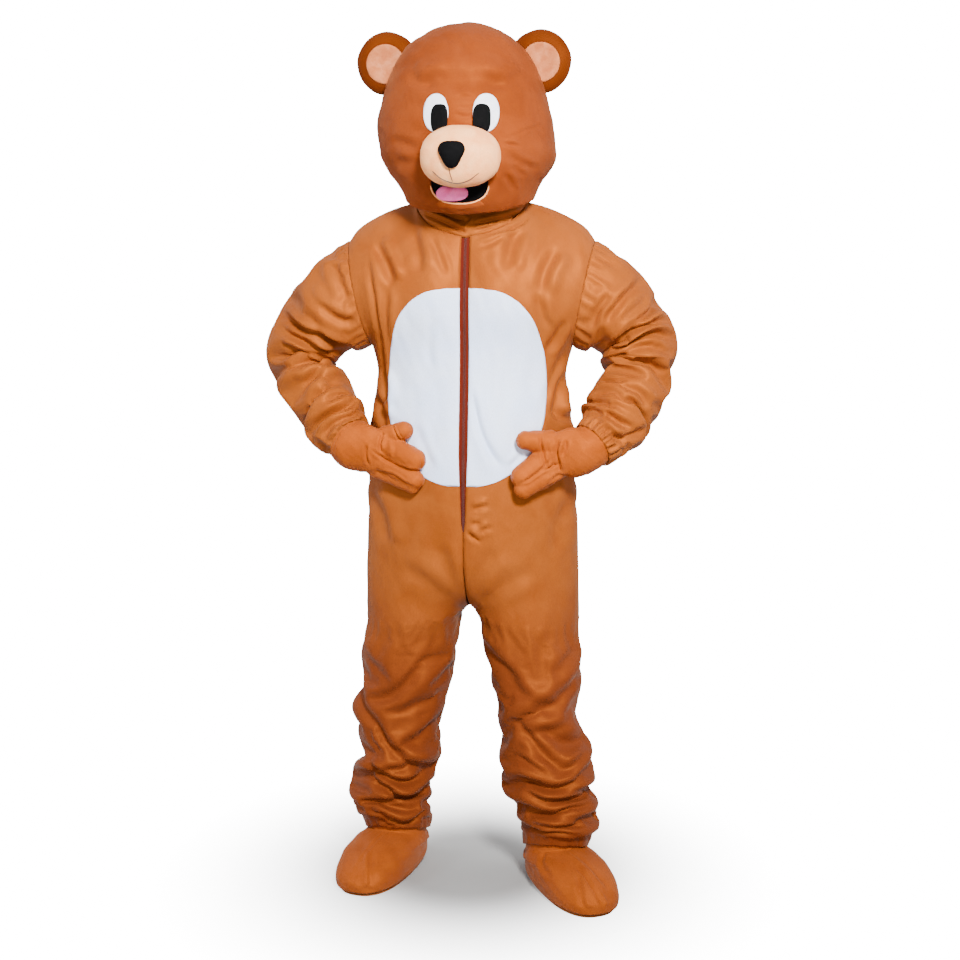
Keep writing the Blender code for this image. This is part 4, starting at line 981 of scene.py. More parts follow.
HEAD = Table(
    "down height out half_width front back chin",
    (0, 1852, -6, 0, 0, 0, 0),
    (60, 1843, -7, 46, 44, 46, 0),
    (120, 1826, -9, 87, 82, 88, 0),
    (200, 1796, -10, 125, 117, 125, 0),
    (300, 1750, -10, 154, 146, 158, 0),
    (420, 1690, -10, 176, 166, 182, 0),
    (540, 1625, -8, 188, 176, 192, 0),
    (640, 1582, -3, 188, 178, 190, 0),
    (730, 1548, -1, 175, 174, 182, 4),
    (820, 1520, -1, 154, 163, 168, 14),
    (910, 1497, 1, 141, 147, 156, 26),
    (1000, 1482.2, 2, 135.5, 123, 150, 34),
)

# The boot cover, in its foot's own directions from the ankle. tilt: rise per metre towards the toe.
BOOT = Table(
    "down height tilt toe heel half_width blunt",
    (0, 120, 260, 65.2, 65.2, 65.2, 1000),
    (220, 71.5, 260, 66.2, 66.2, 66.2, 1000),
    (290, 64, 260, 77.5, 67.5, 68.5, 980),
    (380, 55, 243, 112, 72, 76, 940),
    (500, 50, 165, 156, 78.5, 80, 900),
    (630, 51, 60, 197, 82, 81, 860),
    (740, 41, 20, 223, 84, 82, 830),
    (850, 27, 0, 235, 85, 82, 820),
    (930, 13, 0, 235, 84, 80, 820),
    (1000, 4.2, 0, 226, 78, 73, 820),
)
# Where each foot stands, how far it is turned out in degrees, and which side it is on.
RIGHT_FOOT = {"side": -1, "out": 0.166, "ahead": 0.051, "turned": 14.5}
LEFT_FOOT = {"side": 1, "out": 0.2, "ahead": 0.111, "turned": 28.5}

# Each row is a round-ended tube of a mitten, from its root to its tip. The palm is wider than it is deep.
LOBE_COLUMNS = "out ahead height tip_out tip_ahead tip_height root_radius tip_radius"
RIGHT_MITT = Table(
    LOBE_COLUMNS,
    (172, 133, 967, 102, 160, 938, 25, 23.5),
    (192, 130, 937, 101, 161, 896, 20.5, 19),
    (198, 119, 910, 108, 154.5, 880, 16.5, 15),
    (168, 127, 983, 127, 145, 999, 23, 19),
)
LEFT_MITT = Table(
    LOBE_COLUMNS,
    (180, 130, 947, 125, 160, 907, 26, 22.5),
    (196, 128, 919, 130, 158, 880, 21.5, 20.5),
    (206, 112, 914, 165, 135, 888, 16, 14),
    (182, 129, 975, 132, 146, 982, 27, 20),
)
# The palms, from the cuff to the knuckles: half the height across the hand, then half the thickness.
PALM_COLUMNS = "down out ahead height across deep"
RIGHT_PALM = Table(
    PALM_COLUMNS,
    (0, 252, 97.5, 965.5, 53.5, 53.5),
    (140, 242, 106, 960, 54.5, 53.5),
    (340, 227, 116, 958, 54.5, 46),
    (560, 211, 125, 955, 52, 35),
    (760, 195, 132, 950, 49, 27),
    (900, 179, 137.5, 945, 44, 22),
    (1000, 170, 140, 942, 34, 15),
)
LEFT_PALM = Table(
    PALM_COLUMNS,
    (0, 279, 96.5, 974.8, 49.7, 49.7),
    (180, 262, 110, 961.5, 47.5, 46.6),
    (400, 245.5, 118.5, 956, 52.5, 43),
    (600, 231, 123.5, 954.5, 54, 37),
    (780, 216, 128.5, 953, 51, 29),
    (920, 200, 134, 948, 45, 23),
    (1000, 191, 136.5, 945, 34, 15),
)

# Half of the belly patch: its edge's distance from the middle line.
PATCH_TOP = 1.3
PATCH_FOOT = 0.881
PATCH = Table(
    "height out",
    (1299.5, 34),
    (1296, 64),
    (1284, 96),
    (1262, 124),
    (1233, 145),
    (1195, 158),
    (1145, 168),
    (1090, 171),
    (1035, 169),
    (990, 160),
    (954, 144),
    (924, 121),
    (902, 91),
    (888, 60),
    (882, 32),
)

# The face, on the head's middle line unless out is given.
EAR = {"out": 0.163, "ahead": 0.02, "height": 1.771, "radius": 0.066, "half_depth": 0.019}
EAR_LINING = {"out": 0.002, "height": -0.003, "radius": 0.041, "stands": 0.003}
EYE = {"out": 0.05, "height": 1.652, "half_width": 0.026, "half_height": 0.038}
PUPIL = {"out": 0.0415, "height": 1.64, "half_width": 0.0172, "half_height": 0.028}
MUZZLE = {"height": 1.5705, "half_width": 0.0765, "half_height": 0.057, "stands": 0.064}
NOSE = {"height": 1.5685, "half_width": 0.0245, "half_height": 0.024, "stands": 0.014}
MOUTH = {"out": -0.001, "half_width": 0.06, "top": 1.54, "corner": 1.515, "bottom": 1.473}
TONGUE = {
    "out": -0.016,
    "height": 1.491,
    "half_width": 0.0345,
    "half_height": 0.0135,
    "stands": 0.016,
    "sunk": 0.008,
    "foot": 0.0102,
}
MOUTH_DEPTH = 0.024
FACE_OUT = 0.004  # the face's middle line, off the suit's
EARS_OUT = -0.0155  # the middle between the ears, off the suit's
EYE_PAD = 0.003
PUPIL_PAD = 0.002
LINING_GROWN = 1.1  # of the mouth's own outline, so that its edge is behind the head's shell
RIM_RADIUS = 0.0016
SOLE = 0.0036

# The neck seam of one side, from the centre front round to the centre back.
NECK = Table(
    "turn out ahead height",
    (0, 0, 108, 1407.5),
    (160, 50, 101, 1419),
    (320, 93, 70, 1442),
    (460, 118, 20, 1472),
    (560, 120, -15, 1484),
    (720, 88, -62, 1483),
    (860, 47, -84, 1480),
    (1000, 0, -92, 1479),
)
NECK_SIDE = 0.53  # the turn at which the shoulder seam meets the neck seam
NECK_SHARE = 0.45  # of a panel's upper edge that is neck seam
SHOULDER = Table(
    "share out height",
    (0, 120.5, 1481.5),
    (280, 162, 1470),
    (580, 207, 1451),
    (850, 250, 1423.5),
    (1000, 268, 1398),
)
ARMHOLE_CENTRE = np.array([0.2445, 0.0, 1.285])
ARMHOLE_UP = np.array([0.0235, 0.0, 0.113])
ARMHOLE_DEPTH = 0.093


# ---------------------------------------------------------------- the jumpsuit
def zip_half_gap(height: float | np.ndarray) -> np.ndarray:
    """Half of the gap between the front panels, which narrows downward and closes at the zip's foot."""
    above = height - ZIP_FOOT
    taper = 0.35 + 0.65 * np.clip(above / 0.17, 0, 1)
    return SEAM_GAP / 2 + ZIP_HALF_GAP * taper * ease((above + 0.004) / 0.03)


def armhole(turn: np.ndarray, front: bool) -> np.ndarray:
    """Points of the armhole: turn 0 under the arm, 1 at the shoulder point."""
    ahead = ARMHOLE_DEPTH * np.sin(math.pi * turn) * (1 if front else -1)
    rise = np.cos(math.pi * turn)[:, None] * ARMHOLE_UP
    return ARMHOLE_CENTRE - rise - ahead[:, None] * np.array([0, 1, 0])


def neck_points(turn: np.ndarray) -> np.ndarray:
    """Points of one side's neck seam: turn 0 at the centre front, 1 at the centre back."""
    return np.stack([NECK.at("out", turn), -NECK.at("ahead", turn), NECK.at("height", turn)], axis=-1)


def yoke(u: np.ndarray, v: np.ndarray, front: bool) -> np.ndarray:
    """The body above the underarms, as a patch between its four edges.

    Args:
        u: shares from the centre to the armhole.
        v: shares from the underarm level up to the neck and shoulder.
        front: which half.

    Returns:
        Points, v by u by 3.
    """
    sign = -1 if front else 1
    depth = float(TORSO.at("front" if front else "back", UNDERARM_Z))
    width = float(TORSO.at("half_width", UNDERARM_Z))
    turn = u * math.pi / 2
    low = np.stack([width * np.sin(turn), sign * depth * np.cos(turn), np.full(len(u), UNDERARM_Z)], axis=1)
    neck_turn = NECK_SIDE * u / NECK_SHARE if front else 1 - (1 - NECK_SIDE) * u / NECK_SHARE
    share = np.clip((u - NECK_SHARE) / (1 - NECK_SHARE), 0, 1)
    join = float(neck_points(np.array([NECK_SIDE]))[0, 1]) * (1 - ease(share * 2))
    shoulder = np.stack([SHOULDER.at("out", share), join, SHOULDER.at("height", share)], axis=1)
    high = np.where((u < NECK_SHARE)[:, None], neck_points(np.clip(neck_turn, 0, 1)), shoulder)
    u_, v_ = u[None, :, None], v[:, None, None]
    bulge = np.array([0, sign * 0.012, 0])
    middle = low[0] + (high[0] - low[0]) * v_ + bulge * np.sin(math.pi * v_)
    edge = armhole(v, front)[:, None]
    corners = (1 - u_) * ((1 - v_) * low[0] + v_ * high[0]) + u_ * ((1 - v_) * low[-1] + v_ * high[-1])
    points = (1 - v_) * low[None] + v_ * high[None] + (1 - u_) * middle + u_ * edge - corners
    swell = 0.02 * np.sin(math.pi * np.minimum(u_ * 1.05, 1)) * np.sin(math.pi * v_)
    return points + swell * np.array([0, sign, 0])


def soothed(points: np.ndarray, amount: np.ndarray, axis: int, passes: int) -> np.ndarray:
    """Evens out kinks in a grid along one of its directions.

    Args:
        points: rows by columns by 3.
        amount: rows by columns, from 0 where it stays to 1.
        axis: 0 evens along a column, 1 along a row.
        passes: how many times.

    Returns:
        The evened grid.
    """
    points = points.copy()
    rows = (np.s_[:],) * axis
    inner, before, after = (*rows, np.s_[1:-1]), (*rows, np.s_[:-2]), (*rows, np.s_[2:])
    for _ in range(passes):
        pull = (points[before] + points[after]) / 2 - points[inner]
        points[inner] += 0.5 * amount[inner][..., None] * pull
    return points


def body_row(height: float, leg: Table, front: bool, u: np.ndarray) -> np.ndarray:
    """A row of the body or a leg below the underarms; u runs from the centre or inseam to the side."""
    sign = -1 if front else 1
    across, round_it = u * math.pi / 2, u * math.pi
    width = TORSO.at("half_width", height)
    depth = TORSO.at("front" if front else "back", max(height, CROTCH_START))
    level = np.full(len(u), height)
    torso = np.stack([width * np.sin(across), sign * depth * np.cos(across), level], axis=1)
    out, ahead, half_width, half_depth = (leg.at(name, min(height, THIGH_Z)) for name in leg.names[1:])
    tube = np.stack(
        [out - half_width * np.cos(round_it), -ahead + sign * half_depth * np.sin(round_it), level], axis=1
    )
    share = np.clip((CROTCH_START - height) / (CROTCH_START - THIGH_Z), 0, 1)
    turned = share * math.pi / 2
    row = torso * math.cos(turned) + tube * (1 - math.cos(turned))
    if share > 0:
        seam = CROTCH_START - (CROTCH_START - CROTCH_Z) * math.sin(turned)
        kept = np.clip((height - CROTCH_FADED_Z) / (THIGH_Z - CROTCH_FADED_Z), 0, 1)
        row[:, 2] += (seam - height) * kept * (1 - ease(u * 1.4))
    return row


def hem(row: np.ndarray, leg: Table) -> np.ndarray:
    """Tilts the last rows of a leg so that the hem rises over the instep."""
    row[:, 2] += ease((0.22 - row[:, 2]) / 0.12) * HEM_TILT * -(row[:, 1] + float(leg.at("ahead", HEM_Z)))
    return row


def slouch(levels: np.ndarray, around: np.ndarray, pitch: float, seed: float) -> np.ndarray:
    """Stacked folds of a trouser leg or sleeve pushed together, as sharp troughs between round ridges.

    Args:
        levels: length along the tube, in metres.
        around: turns round it.
        pitch: from one fold to the next, in metres.
        seed: which pattern.

    Returns:
        Heights from -1 to 1.
    """
    swing = TURN * around
    warp = 0.34 * np.sin(swing + seed) + 0.22 * np.sin(2 * swing + 2.3 * seed + levels / pitch * 0.7)
    warp = warp + 0.16 * np.sin(3 * swing - seed + 1.9 * np.sin(levels / pitch * 0.9 + seed))
    phase = levels / pitch + warp
    ridge = np.abs(np.sin(math.pi * phase)) ** 0.75 * 2 - 1
    strength = 0.62 + 0.38 * np.sin(swing * 2 + levels / pitch * 1.3 + seed * 3)
    return ridge * strength


RIGHT_LEG_CREASES = crease_table(
    True,
    ((5.2, 17), -228, 382, -197, 391, -161, 409, -120, 447, -98, 490),
    ((3.6, 16), -145, 362, -97, 385, -68, 399, -50, 424),
    ((6.8, 17), -205, 340, -176, 293, -135, 258, -92, 224),
    ((8.8, 12), -220, 262, -190, 222, -135, 206, -90, 219),
    ((8.4, 11), -214, 206, -165, 187, -120, 164, -88, 172),
    ((4.8, 8), -178, 200, -160, 180, -142, 163),
    ((8, 10), -226, 148, -182, 131, -132, 113, -92, 131),
    ((9.6, 7, 0.5), -208, 100, -151, 90, -104, 78),
    ((5.6, 6), -192, 113, -160, 103, -125, 96),
    ((2.2, 22), -160, 560, -195, 500, -205, 440),
    ((4, 10), -222, 330, -212, 300, -190, 270),
)
LEFT_LEG_CREASES = crease_table(
    True,
    ((3.9, 20), 85, 492, 114, 441, 154, 412, 205, 390),
    ((2.8, 18), 185, 468, 215, 488, 240, 512),
    ((5, 16), 104, 372, 140, 352, 180, 346, 235, 366),
    ((6.4, 15), 104, 334, 142, 338, 182, 298, 240, 252),
    ((5.6, 12), 215, 268, 245, 280, 272, 302),
    ((8.8, 13), 118, 252, 160, 236, 205, 232, 262, 250),
    ((9.6, 10), 130, 222, 180, 208, 230, 204, 278, 190),
    ((8.4, 10), 142, 178, 190, 177, 240, 182, 282, 176),
    ((6.4, 8), 148, 152, 200, 149, 262, 150),
    ((5.6, 7), 165, 131, 211, 134, 262, 126),
    ((4.4, 10), 118, 290, 150, 280, 185, 262),
    ((2.2, 24), 190, 560, 165, 520, 172, 470),
)
FRONT_CREASES = crease_table(
    True,
    ((6, 6, 1.1), 128, 1452, 110, 1430, 55, 1414, 10, 1404),
    ((3, 5), -10, 1404, -50, 1420, -88, 1445),
    ((2.6, 8), 90, 1420, 60, 1395, 20, 1385),
    ((4, 11), -75, 1405, -55, 1370, -30, 1325),
    ((5, 9), -213, 1370, -196, 1270, -188, 1180, -184, 1080),
    ((4.5, 12), -165, 1300, -172, 1230, -176, 1180),
    ((7, 11), 212, 1234, 190, 1195, 168, 1158),
    ((6, 11), 208, 1165, 176, 1090, 168, 1040),
    ((5, 9), 222, 1140, 224, 1090, 220, 1040),
    ((5, 14), 150, 1290, 162, 1250, 172, 1215),
    ((6.8, 13), 6, 1088, 30, 1005, 60, 950, 88, 914),
    ((2.4, 12), -70, 1230, -74, 1180, -70, 1130),
    ((3.5, 8), 95, 925, 112, 938, 122, 950),
    ((2.4, 14), 45, 1200, 52, 1120, 46, 1050),
    ((2.4, 14), -110, 1020, -85, 960, -60, 915),
    ((12.1, 16), -200, 1395, -172, 1352, -152, 1305),
    ((10.9, 18), 196, 1385, 170, 1340, 160, 1290),
    ((7.3, 18), -120, 1420, -100, 1370, -95, 1330),
    ((7.3, 20), 110, 1425, 95, 1375, 88, 1335),
    ((9.9, 14), -192, 1130, -178, 1080, -188, 1040, -160, 1000),
    ((8.1, 12), -210, 1080, -195, 1030, -175, 985),
    ((10.8, 13), 207, 1120, 192, 1070, 196, 1020),
    ((8.1, 12), 183, 1042, 205, 1020, 236, 1012),
    ((4.2, 22), -60, 760, -35, 700, -18, 640),
    ((4.2, 22), 70, 750, 40, 700, 20, 640),
    ((6.3, 24), -225, 860, -190, 800, -180, 740),
    ((6.3, 24), 228, 850, 200, 790, 195, 720),
    ((3.6, 24), 150, 700, 80, 660, 30, 612),
    ((3.6, 24), -150, 700, -80, 665, -30, 615),
    ((8.2, 8), 18, 832, 34, 838, 54, 842),
    ((6.6, 7), 16, 800, 36, 806),
    ((6.6, 7), 38, 786, 60, 796),
    ((8.6, 7), 6, 784, 18, 777, 36, 763),
)
BACK_CREASES = crease_table(
    False,
    ((5.5, 20), -180, 1160, -110, 1120, 0, 1105, 105, 1125, 175, 1165),
    ((6, 22), -195, 1090, -100, 1040, 20, 1030, 140, 1060),
    ((6, 20), -150, 1000, -50, 975, 80, 985, 180, 1020),
    ((5.5, 18), -190, 1380, -160, 1320, -165, 1250),
    ((5.5, 18), 190, 1380, 165, 1310, 160, 1240),
    ((6, 18), -40, 660, -90, 640, -170, 650),
    ((6, 18), 40, 660, 100, 645, 180, 660),
    ((7, 18), -70, 480, -140, 450, -215, 470),
    ((8, 16), -75, 410, -150, 380, -225, 395),
    ((8.5, 15), -90, 320, -160, 300, -235, 325),
    ((10, 13), -95, 245, -160, 225, -235, 240),
    ((10, 11), -100, 180, -165, 165, -240, 178),
    ((7, 18), 75, 470, 150, 445, 225, 470),
    ((8, 16), 90, 400, 160, 370, 235, 385),
    ((8.5, 15), 100, 310, 180, 290, 260, 318),
    ((10, 13), 110, 240, 190, 222, 270, 240),
    ((10, 11), 120, 180, 200, 166, 280, 180),
)
RIGHT_SLEEVE_CREASES = crease_table(
    True,
    ((12.5, 12), -412, 1236, -365, 1213, -318, 1194, -285, 1178, -252, 1170),
    ((9, 9), -408, 1202, -369, 1184, -333, 1168, -291, 1158),
    ((6, 8), -410, 1176, -381, 1168, -350, 1154),
    ((8, 13), -372, 1082, -345, 1098, -315, 1098, -280, 1085),
    ((8.5, 11), -336, 980, -318, 1010, -285, 1032, -245, 1038),
    ((8, 9), -305, 976, -285, 1005, -250, 1022, -228, 1026),
    ((6.5, 7), -290, 965, -262, 994, -240, 1008, -224, 1012),
    ((5, 11), -340, 985, -305, 955, -262, 944),
    ((5.5, 17), -296, 1352, -272, 1305, -250, 1262),
    ((6, 14), -318, 1262, -279, 1232, -240, 1226),
    ((3.5, 14), -345, 1300, -325, 1268, -300, 1248),
    ((4.5, 11), -360, 1135, -330, 1130, -300, 1115),
) + crease_table(
    False,
    ((4, 20), -250, 1400, -330, 1330, -400, 1250),
    ((7, 16), -270, 1300, -330, 1250, -410, 1215),
    ((9, 12), -290, 1200, -350, 1185, -420, 1170),
    ((8, 12), -310, 1140, -360, 1135, -420, 1125),
    ((6, 12), -300, 1060, -350, 1075, -400, 1085),
)
LEFT_SLEEVE_CREASES = crease_table(
    True,
    ((8.5, 11), 308, 1184, 338, 1217, 367, 1236, 395, 1263, 385, 1300),
    ((9.5, 9), 304, 1178, 342, 1207, 384, 1223, 422, 1224),
    ((9.5, 9), 308, 1164, 355, 1190, 397, 1201, 434, 1186),
    ((7, 9), 312, 1148, 350, 1166, 392, 1172, 428, 1156),
    ((7.5, 13), 290, 1228, 312, 1260, 337, 1289, 368, 1318),
    ((6, 14), 306, 1290, 281, 1256, 264, 1220),
    ((6, 10), 366, 1148, 392, 1136, 418, 1120),
    ((8, 12), 292, 1092, 330, 1089, 366, 1078, 386, 1046),
    ((7, 10), 272, 1066, 305, 1077, 341, 1060, 372, 1047),
    ((7, 11), 300, 986, 343, 990, 384, 1006),
    ((6.5, 10), 294, 1040, 322, 1022, 352, 1000),
    ((5.5, 8), 290, 1012, 312, 998, 336, 974),
) + crease_table(
    False,
    ((4, 20), 250, 1400, 325, 1335, 385, 1255),
    ((7, 16), 270, 1290, 330, 1250, 400, 1220),
    ((9, 12), 290, 1205, 350, 1190, 420, 1175),
    ((8, 12), 310, 1145, 360, 1138, 420, 1125),
    ((6, 12), 300, 1060, 350, 1072, 400, 1090),
)


def seam_valley(distance: np.ndarray, depth: float = 0.0024, width: float = 0.0055) -> np.ndarray:
    """How far cloth sinks beside a sewn edge."""
    return -depth * np.exp(-((distance / width) ** 2))


@dataclass
class Jumpsuit:
    """The four panels, the sleeves, the collar, the zip and the belly patch."""

    columns: int = 60
    sleeve_columns: int = 128
    sleeve_rows: int = 151
    collar_columns: int = 160
    patch_columns: int = 34
    patch_rows: int = 104
    tooth_pitch: float = 0.0032
    panels: dict[str, np.ndarray] = field(default_factory=dict)

    def build(self, shop: Workshop) -> None:
        """Makes every piece of the jumpsuit."""
        for side, word in SIDES:
            self.build_panels(shop, side, word)
            self.build_sleeve(shop, side, word)
            self.build_patch(shop, side, word)
        self.build_collar(shop)
        self.build_zip(shop)

    def quarter(self, side: int, front: bool) -> tuple[np.ndarray, np.ndarray]:
        """The base form of a panel.

        Args:
            side: 1 for the wearer's left, -1 for the right.
            front: which half.

        Returns:
            Points on the wearer's left side, and how far the large folds lift them.
        """
        leg, folds = (LEFT_LEG, LEFT_LEG_FOLDS) if side > 0 else (RIGHT_LEG, RIGHT_LEG_FOLDS)
        u = np.linspace(0, 1, self.columns + 1)
        heights = np.concatenate(
            [
                np.linspace(UNDERARM_Z, CROTCH_START, BODY_ROWS, endpoint=False),
                np.linspace(CROTCH_START, THIGH_Z, CROTCH_ROWS, endpoint=False),
                np.linspace(THIGH_Z, SHIN_Z, THIGH_ROWS, endpoint=False),
                np.linspace(SHIN_Z, HEM_Z, SHIN_ROWS),
            ]
        )
        rows = [yoke(u, np.linspace(1, 0, YOKE_ROWS, endpoint=False), front)]
        rows += [hem(body_row(height, leg, front, u), leg)[None] for height in heights]
        points = np.concatenate(rows)
        order, last = np.arange(len(points))[:, None], len(points) - 1
        inner = ease(u / 0.12) * ease((1 - u) / 0.12)
        near_neck = ease(order / 12) * ease((YOKE_ROWS + 1 - order) / 8) * inner
        points = soothed(points, near_neck * np.ones_like(points[..., 0]), 1, 60)
        below_body = YOKE_ROWS + BODY_ROWS
        for join, band in ((YOKE_ROWS, 14), (below_body, 16), (below_body + CROTCH_ROWS, 18)):
            near = np.clip(1 - np.abs(order - join) / band, 0, 1) * ease((last - order) / 4)
            points = soothed(points, near * inner, 0, 60)
        levels = points[:, :, 2]
        round_leg = (u / 2 if front else 1 - u / 2)[None, :]
        round_body = (u / 4 if front else 0.5 - u / 4)[None, :]
        in_leg = ease((THIGH_Z - levels) / 0.04)
        near_hem = ease((levels - HEM_Z - 0.012) / 0.03)
        below_yoke = ease((UNDERARM_Z - levels) / 0.06)
        lifted = fold_heights(folds, levels, round_leg) * in_leg * near_hem
        lifted += fold_heights(TORSO_FOLDS, levels, round_body) * below_yoke * (1 - in_leg)
        stacked = ease((0.345 - levels) / 0.1) * ease((levels - HEM_Z - 0.004) / 0.035)
        lifted += 0.001 * stacked * slouch(levels, round_leg, 0.034, 1.3 * side + 2)
        gathers = np.sin(44 * TURN * round_leg + 1.9 * np.sin(7 * TURN * round_leg))
        lifted += 0.0016 * gathers * ease((HEM_Z + 0.04 - levels) / 0.03)
        return points, lifted

    def build_panels(self, shop: Workshop, side: int, word: str) -> None:
        """The front and back panel of one side, each one piece from neck to ankle."""
        front, front_lift = self.quarter(side, True)
        back, back_lift = self.quarter(side, False)
        normals, back_normals = grid_normals(front, False), -grid_normals(back, False)
        # Where the two panels are sewn together they swell and sink along one shared normal.
        for edge in (np.s_[:, -1], np.s_[:, 0], np.s_[0]):
            meet = np.linalg.norm(front[edge] - back[edge], axis=-1) < SEWN_CLOSER
            shared = unit(normals[edge][meet] + back_normals[edge][meet])
            normals[edge][meet], back_normals[edge][meet] = shared, shared
        creases = LEFT_LEG_CREASES if side > 0 else RIGHT_LEG_CREASES
        mirror = np.array([side, 1, 1])
        halves = []
        for points, outward, lifted, is_front in (
            (front, normals, front_lift, True), (back, back_normals, back_lift, False)
        ):
            outward[points[:, 0, 2] > CROTCH_START - 0.001, 0, 0] = 0
            outward = unit(outward)
            points, outward = points * mirror, outward * mirror
            inside = run_lengths(points, 1)
            outside = inside[:, -1:] - inside
            top = run_lengths(points, 0)
            calm = ease(inside / 0.02) * ease(outside / 0.02) * ease(top / 0.03)
            calm = calm * ease((points[..., 2] - HEM_Z - 0.006) / 0.02)
            moved = crease_heights(creases + FRONT_CREASES if is_front else BACK_CREASES, points, outward)
            moved += 0.0016 * wander(points, (0.11, 0.15, 0.26), 2.0 + side)
            moved += 0.0009 * wander(points, (0.05, 0.06, 0.08), 5.0 + side)
            halves.append(points + outward * (lifted + moved * calm)[..., None])
        # Below the crotch the two are one tube, which settles as one and is then parted again.
        closed = int(np.argmax(np.linalg.norm(front[:, 0] - back[:, 0], axis=-1) < SEWN_CLOSER)) + 2
        closed += 1 - (len(front) - closed) % 2
        tube = np.concatenate([halves[0][closed:], halves[1][closed:, -2::-1]], axis=1)
        tube = self.settle_leg(tube)
        halves[0][closed:], halves[1][closed:] = tube[:, : self.columns + 1], tube[:, : self.columns - 1 : -1]
        for part, shape, is_front in (("front", halves[0], True), ("back", halves[1], False)):
            outward = grid_normals(shape, False) * (1 if is_front == (side > 0) else -1)
            inside = run_lengths(shape, 1)
            valleys = seam_valley(inside, 0.0012) + seam_valley(inside[:, -1:] - inside, 0.0007)
            shape = shape + outward * (valleys + seam_valley(run_lengths(shape, 0), 0.0006))[..., None]
            # The gathered hem bulges out over the boot cover and hangs a little lower.
            over = ease((HEM_Z + 0.03 - shape[..., 2]) / 0.028)
            shape = shape + (outward * np.array([1, 1, 0]) * 0.003 - np.array([0, 0, 0.007])) * over[..., None]
            if is_front:
                gap = zip_half_gap(shape[..., 2]) * (shape[:, :1, 2] > CROTCH_START * 0.9)
                shape[..., 0] += side * gap * (1 - ease(np.abs(shape[..., 0]) / 0.07))
                self.panels[word] = shape
            else:
                shape[:, 0, 0] = side * np.maximum(np.abs(shape[:, 0, 0]), SEAM_GAP / 2)
            node, cut = f"{part}_{word}", Cut((0.4, 1.47), 0.475, Hold.DRAPED)
            shop.sheet(f"{node}_plush", grid_mesh(shape, outward, False), BROWN_PLUSH, node, PLUSH)

    def settle_leg(self, tube: np.ndarray) -> np.ndarray:
        """Lets a trouser leg that is cut longer than the wearer's own leg stack up above the boot."""
        levels = tube[..., 2].mean(axis=1)
        excess = 0.015 + 0.045 * ease((0.47 - levels) / 0.1) + 0.19 * ease((0.27 - levels) / 0.1)
        centres = tube[:, :-1].mean(axis=1)
        free = ease((levels[0] - levels) / 0.08) * ease((levels - HEM_Z - 0.006) / 0.02)
        return settled_tube(tube, centres, excess, 1.03, 1 - 0.68 * free, 35.0)

    def build_sleeve(self, shop: Workshop, side: int, word: str) -> None:
        """A sleeve from the armhole to its elastic cuff."""
        table, folds = (LEFT_SLEEVE, LEFT_SLEEVE_FOLDS) if side > 0 else (RIGHT_SLEEVE, RIGHT_SLEEVE_FOLDS)
        creases = LEFT_SLEEVE_CREASES if side > 0 else RIGHT_SLEEVE_CREASES
        shares = np.linspace(0, 1, self.sleeve_rows)
        turns = np.linspace(0, 1, self.sleeve_columns + 1)
        centres = np.stack([table.at("out", shares), -table.at("ahead", shares), table.at("height", shares)], axis=1)
        along = unit(np.gradient(centres, axis=0))
        outward = np.array([0.55, 0.0, 0.85])
        tops = unit(outward - (along @ outward)[:, None] * along)
        turn_out = ease((shares - 0.25) / 0.3)[:, None]
        elbow = np.array([1.0, 0.0, 0.1])
        tops = unit(tops * (1 - turn_out) + turn_out * (elbow - (along @ elbow)[:, None] * along))
        ahead = unit(np.cross(tops, along))
        ahead *= np.sign(-ahead[:, 1:2])
        lengths = run_lengths(centres[:, None], 0)[:, 0]
        swing = TURN * turns
        up, forward = -np.cos(swing)[None, :, None], np.sin(swing)[None, :, None]
        radii = table.at("radius", shares)[:, None, None]
        tube = centres[:, None] + radii * (up * tops[:, None] + forward * ahead[:, None])
        opening = np.where(
            (turns <= 0.5)[:, None],
            armhole(np.clip(2 * turns, 0, 1), True),
            armhole(np.clip(2 - 2 * turns, 0, 1), False),
        )
        # The sleeve starts as the armhole's outline and becomes a round tube on its way to the elbow.
        leave = (1 - ease(shares / 0.26))[:, None, None]
        seam = (opening + np.array([ARMHOLE_GAP, 0, 0]))[None] + centres[:, None] - centres[0]
        points = tube * (1 - leave) + seam * leave
        normals = turned_out(grid_normals(points, True), points, centres[:, None])
        faded = (ease(lengths / 0.05) * ease((lengths[-1] - 0.028 - lengths) / 0.02))[:, None]
        lifted = fold_heights(folds, lengths[:, None], turns[None, :]) * faded
        mirror = np.array([side, 1, 1])
        points, normals = points * mirror, normals * mirror
        bunched = 0.35 * ease((lengths - 0.1) / 0.05) + 0.65 * ease((lengths - lengths[-1] + 0.12) / 0.08)
        lifted += 0.0008 * (bunched[:, None] * faded) * slouch(lengths[:, None], turns[None, :], 0.03, 4.0 + side)
        gathers = np.sin(26 * swing + 1.9 * np.sin(5 * swing + side)) + 0.6 * np.sin(17 * swing + side)
        past = lengths - lengths[-1]
        cuff = ease((past + 0.032) / 0.022) * (1 - 0.75 * ease((past + 0.008) / 0.006))
        lifted += (0.0032 if side > 0 else 0.0018) * gathers[None, :] * cuff[:, None]
        moved = crease_heights(creases, points, normals) + 0.0012 * wander(points, (0.07, 0.09, 0.11), 3.0 + side)
        lifted += moved * ease((lengths[-1] - 0.004 - lengths) / 0.02)[:, None] * ease(lengths / 0.02)[:, None]
        lifted += seam_valley(lengths, 0.0006)[:, None]
        under = np.minimum(turns, 1 - turns)[None, :] * TURN * table.at("radius", shares)[:, None]
        lifted += seam_valley(under, 0.0016, 0.004)
        shape = points + normals * lifted[..., None]
        shape = self.settle_sleeve(shape, centres * mirror, lengths)
        node, cut = f"sleeve_{word}", Cut((0.66, 0.52), 0.26, Hold.GATHERED)
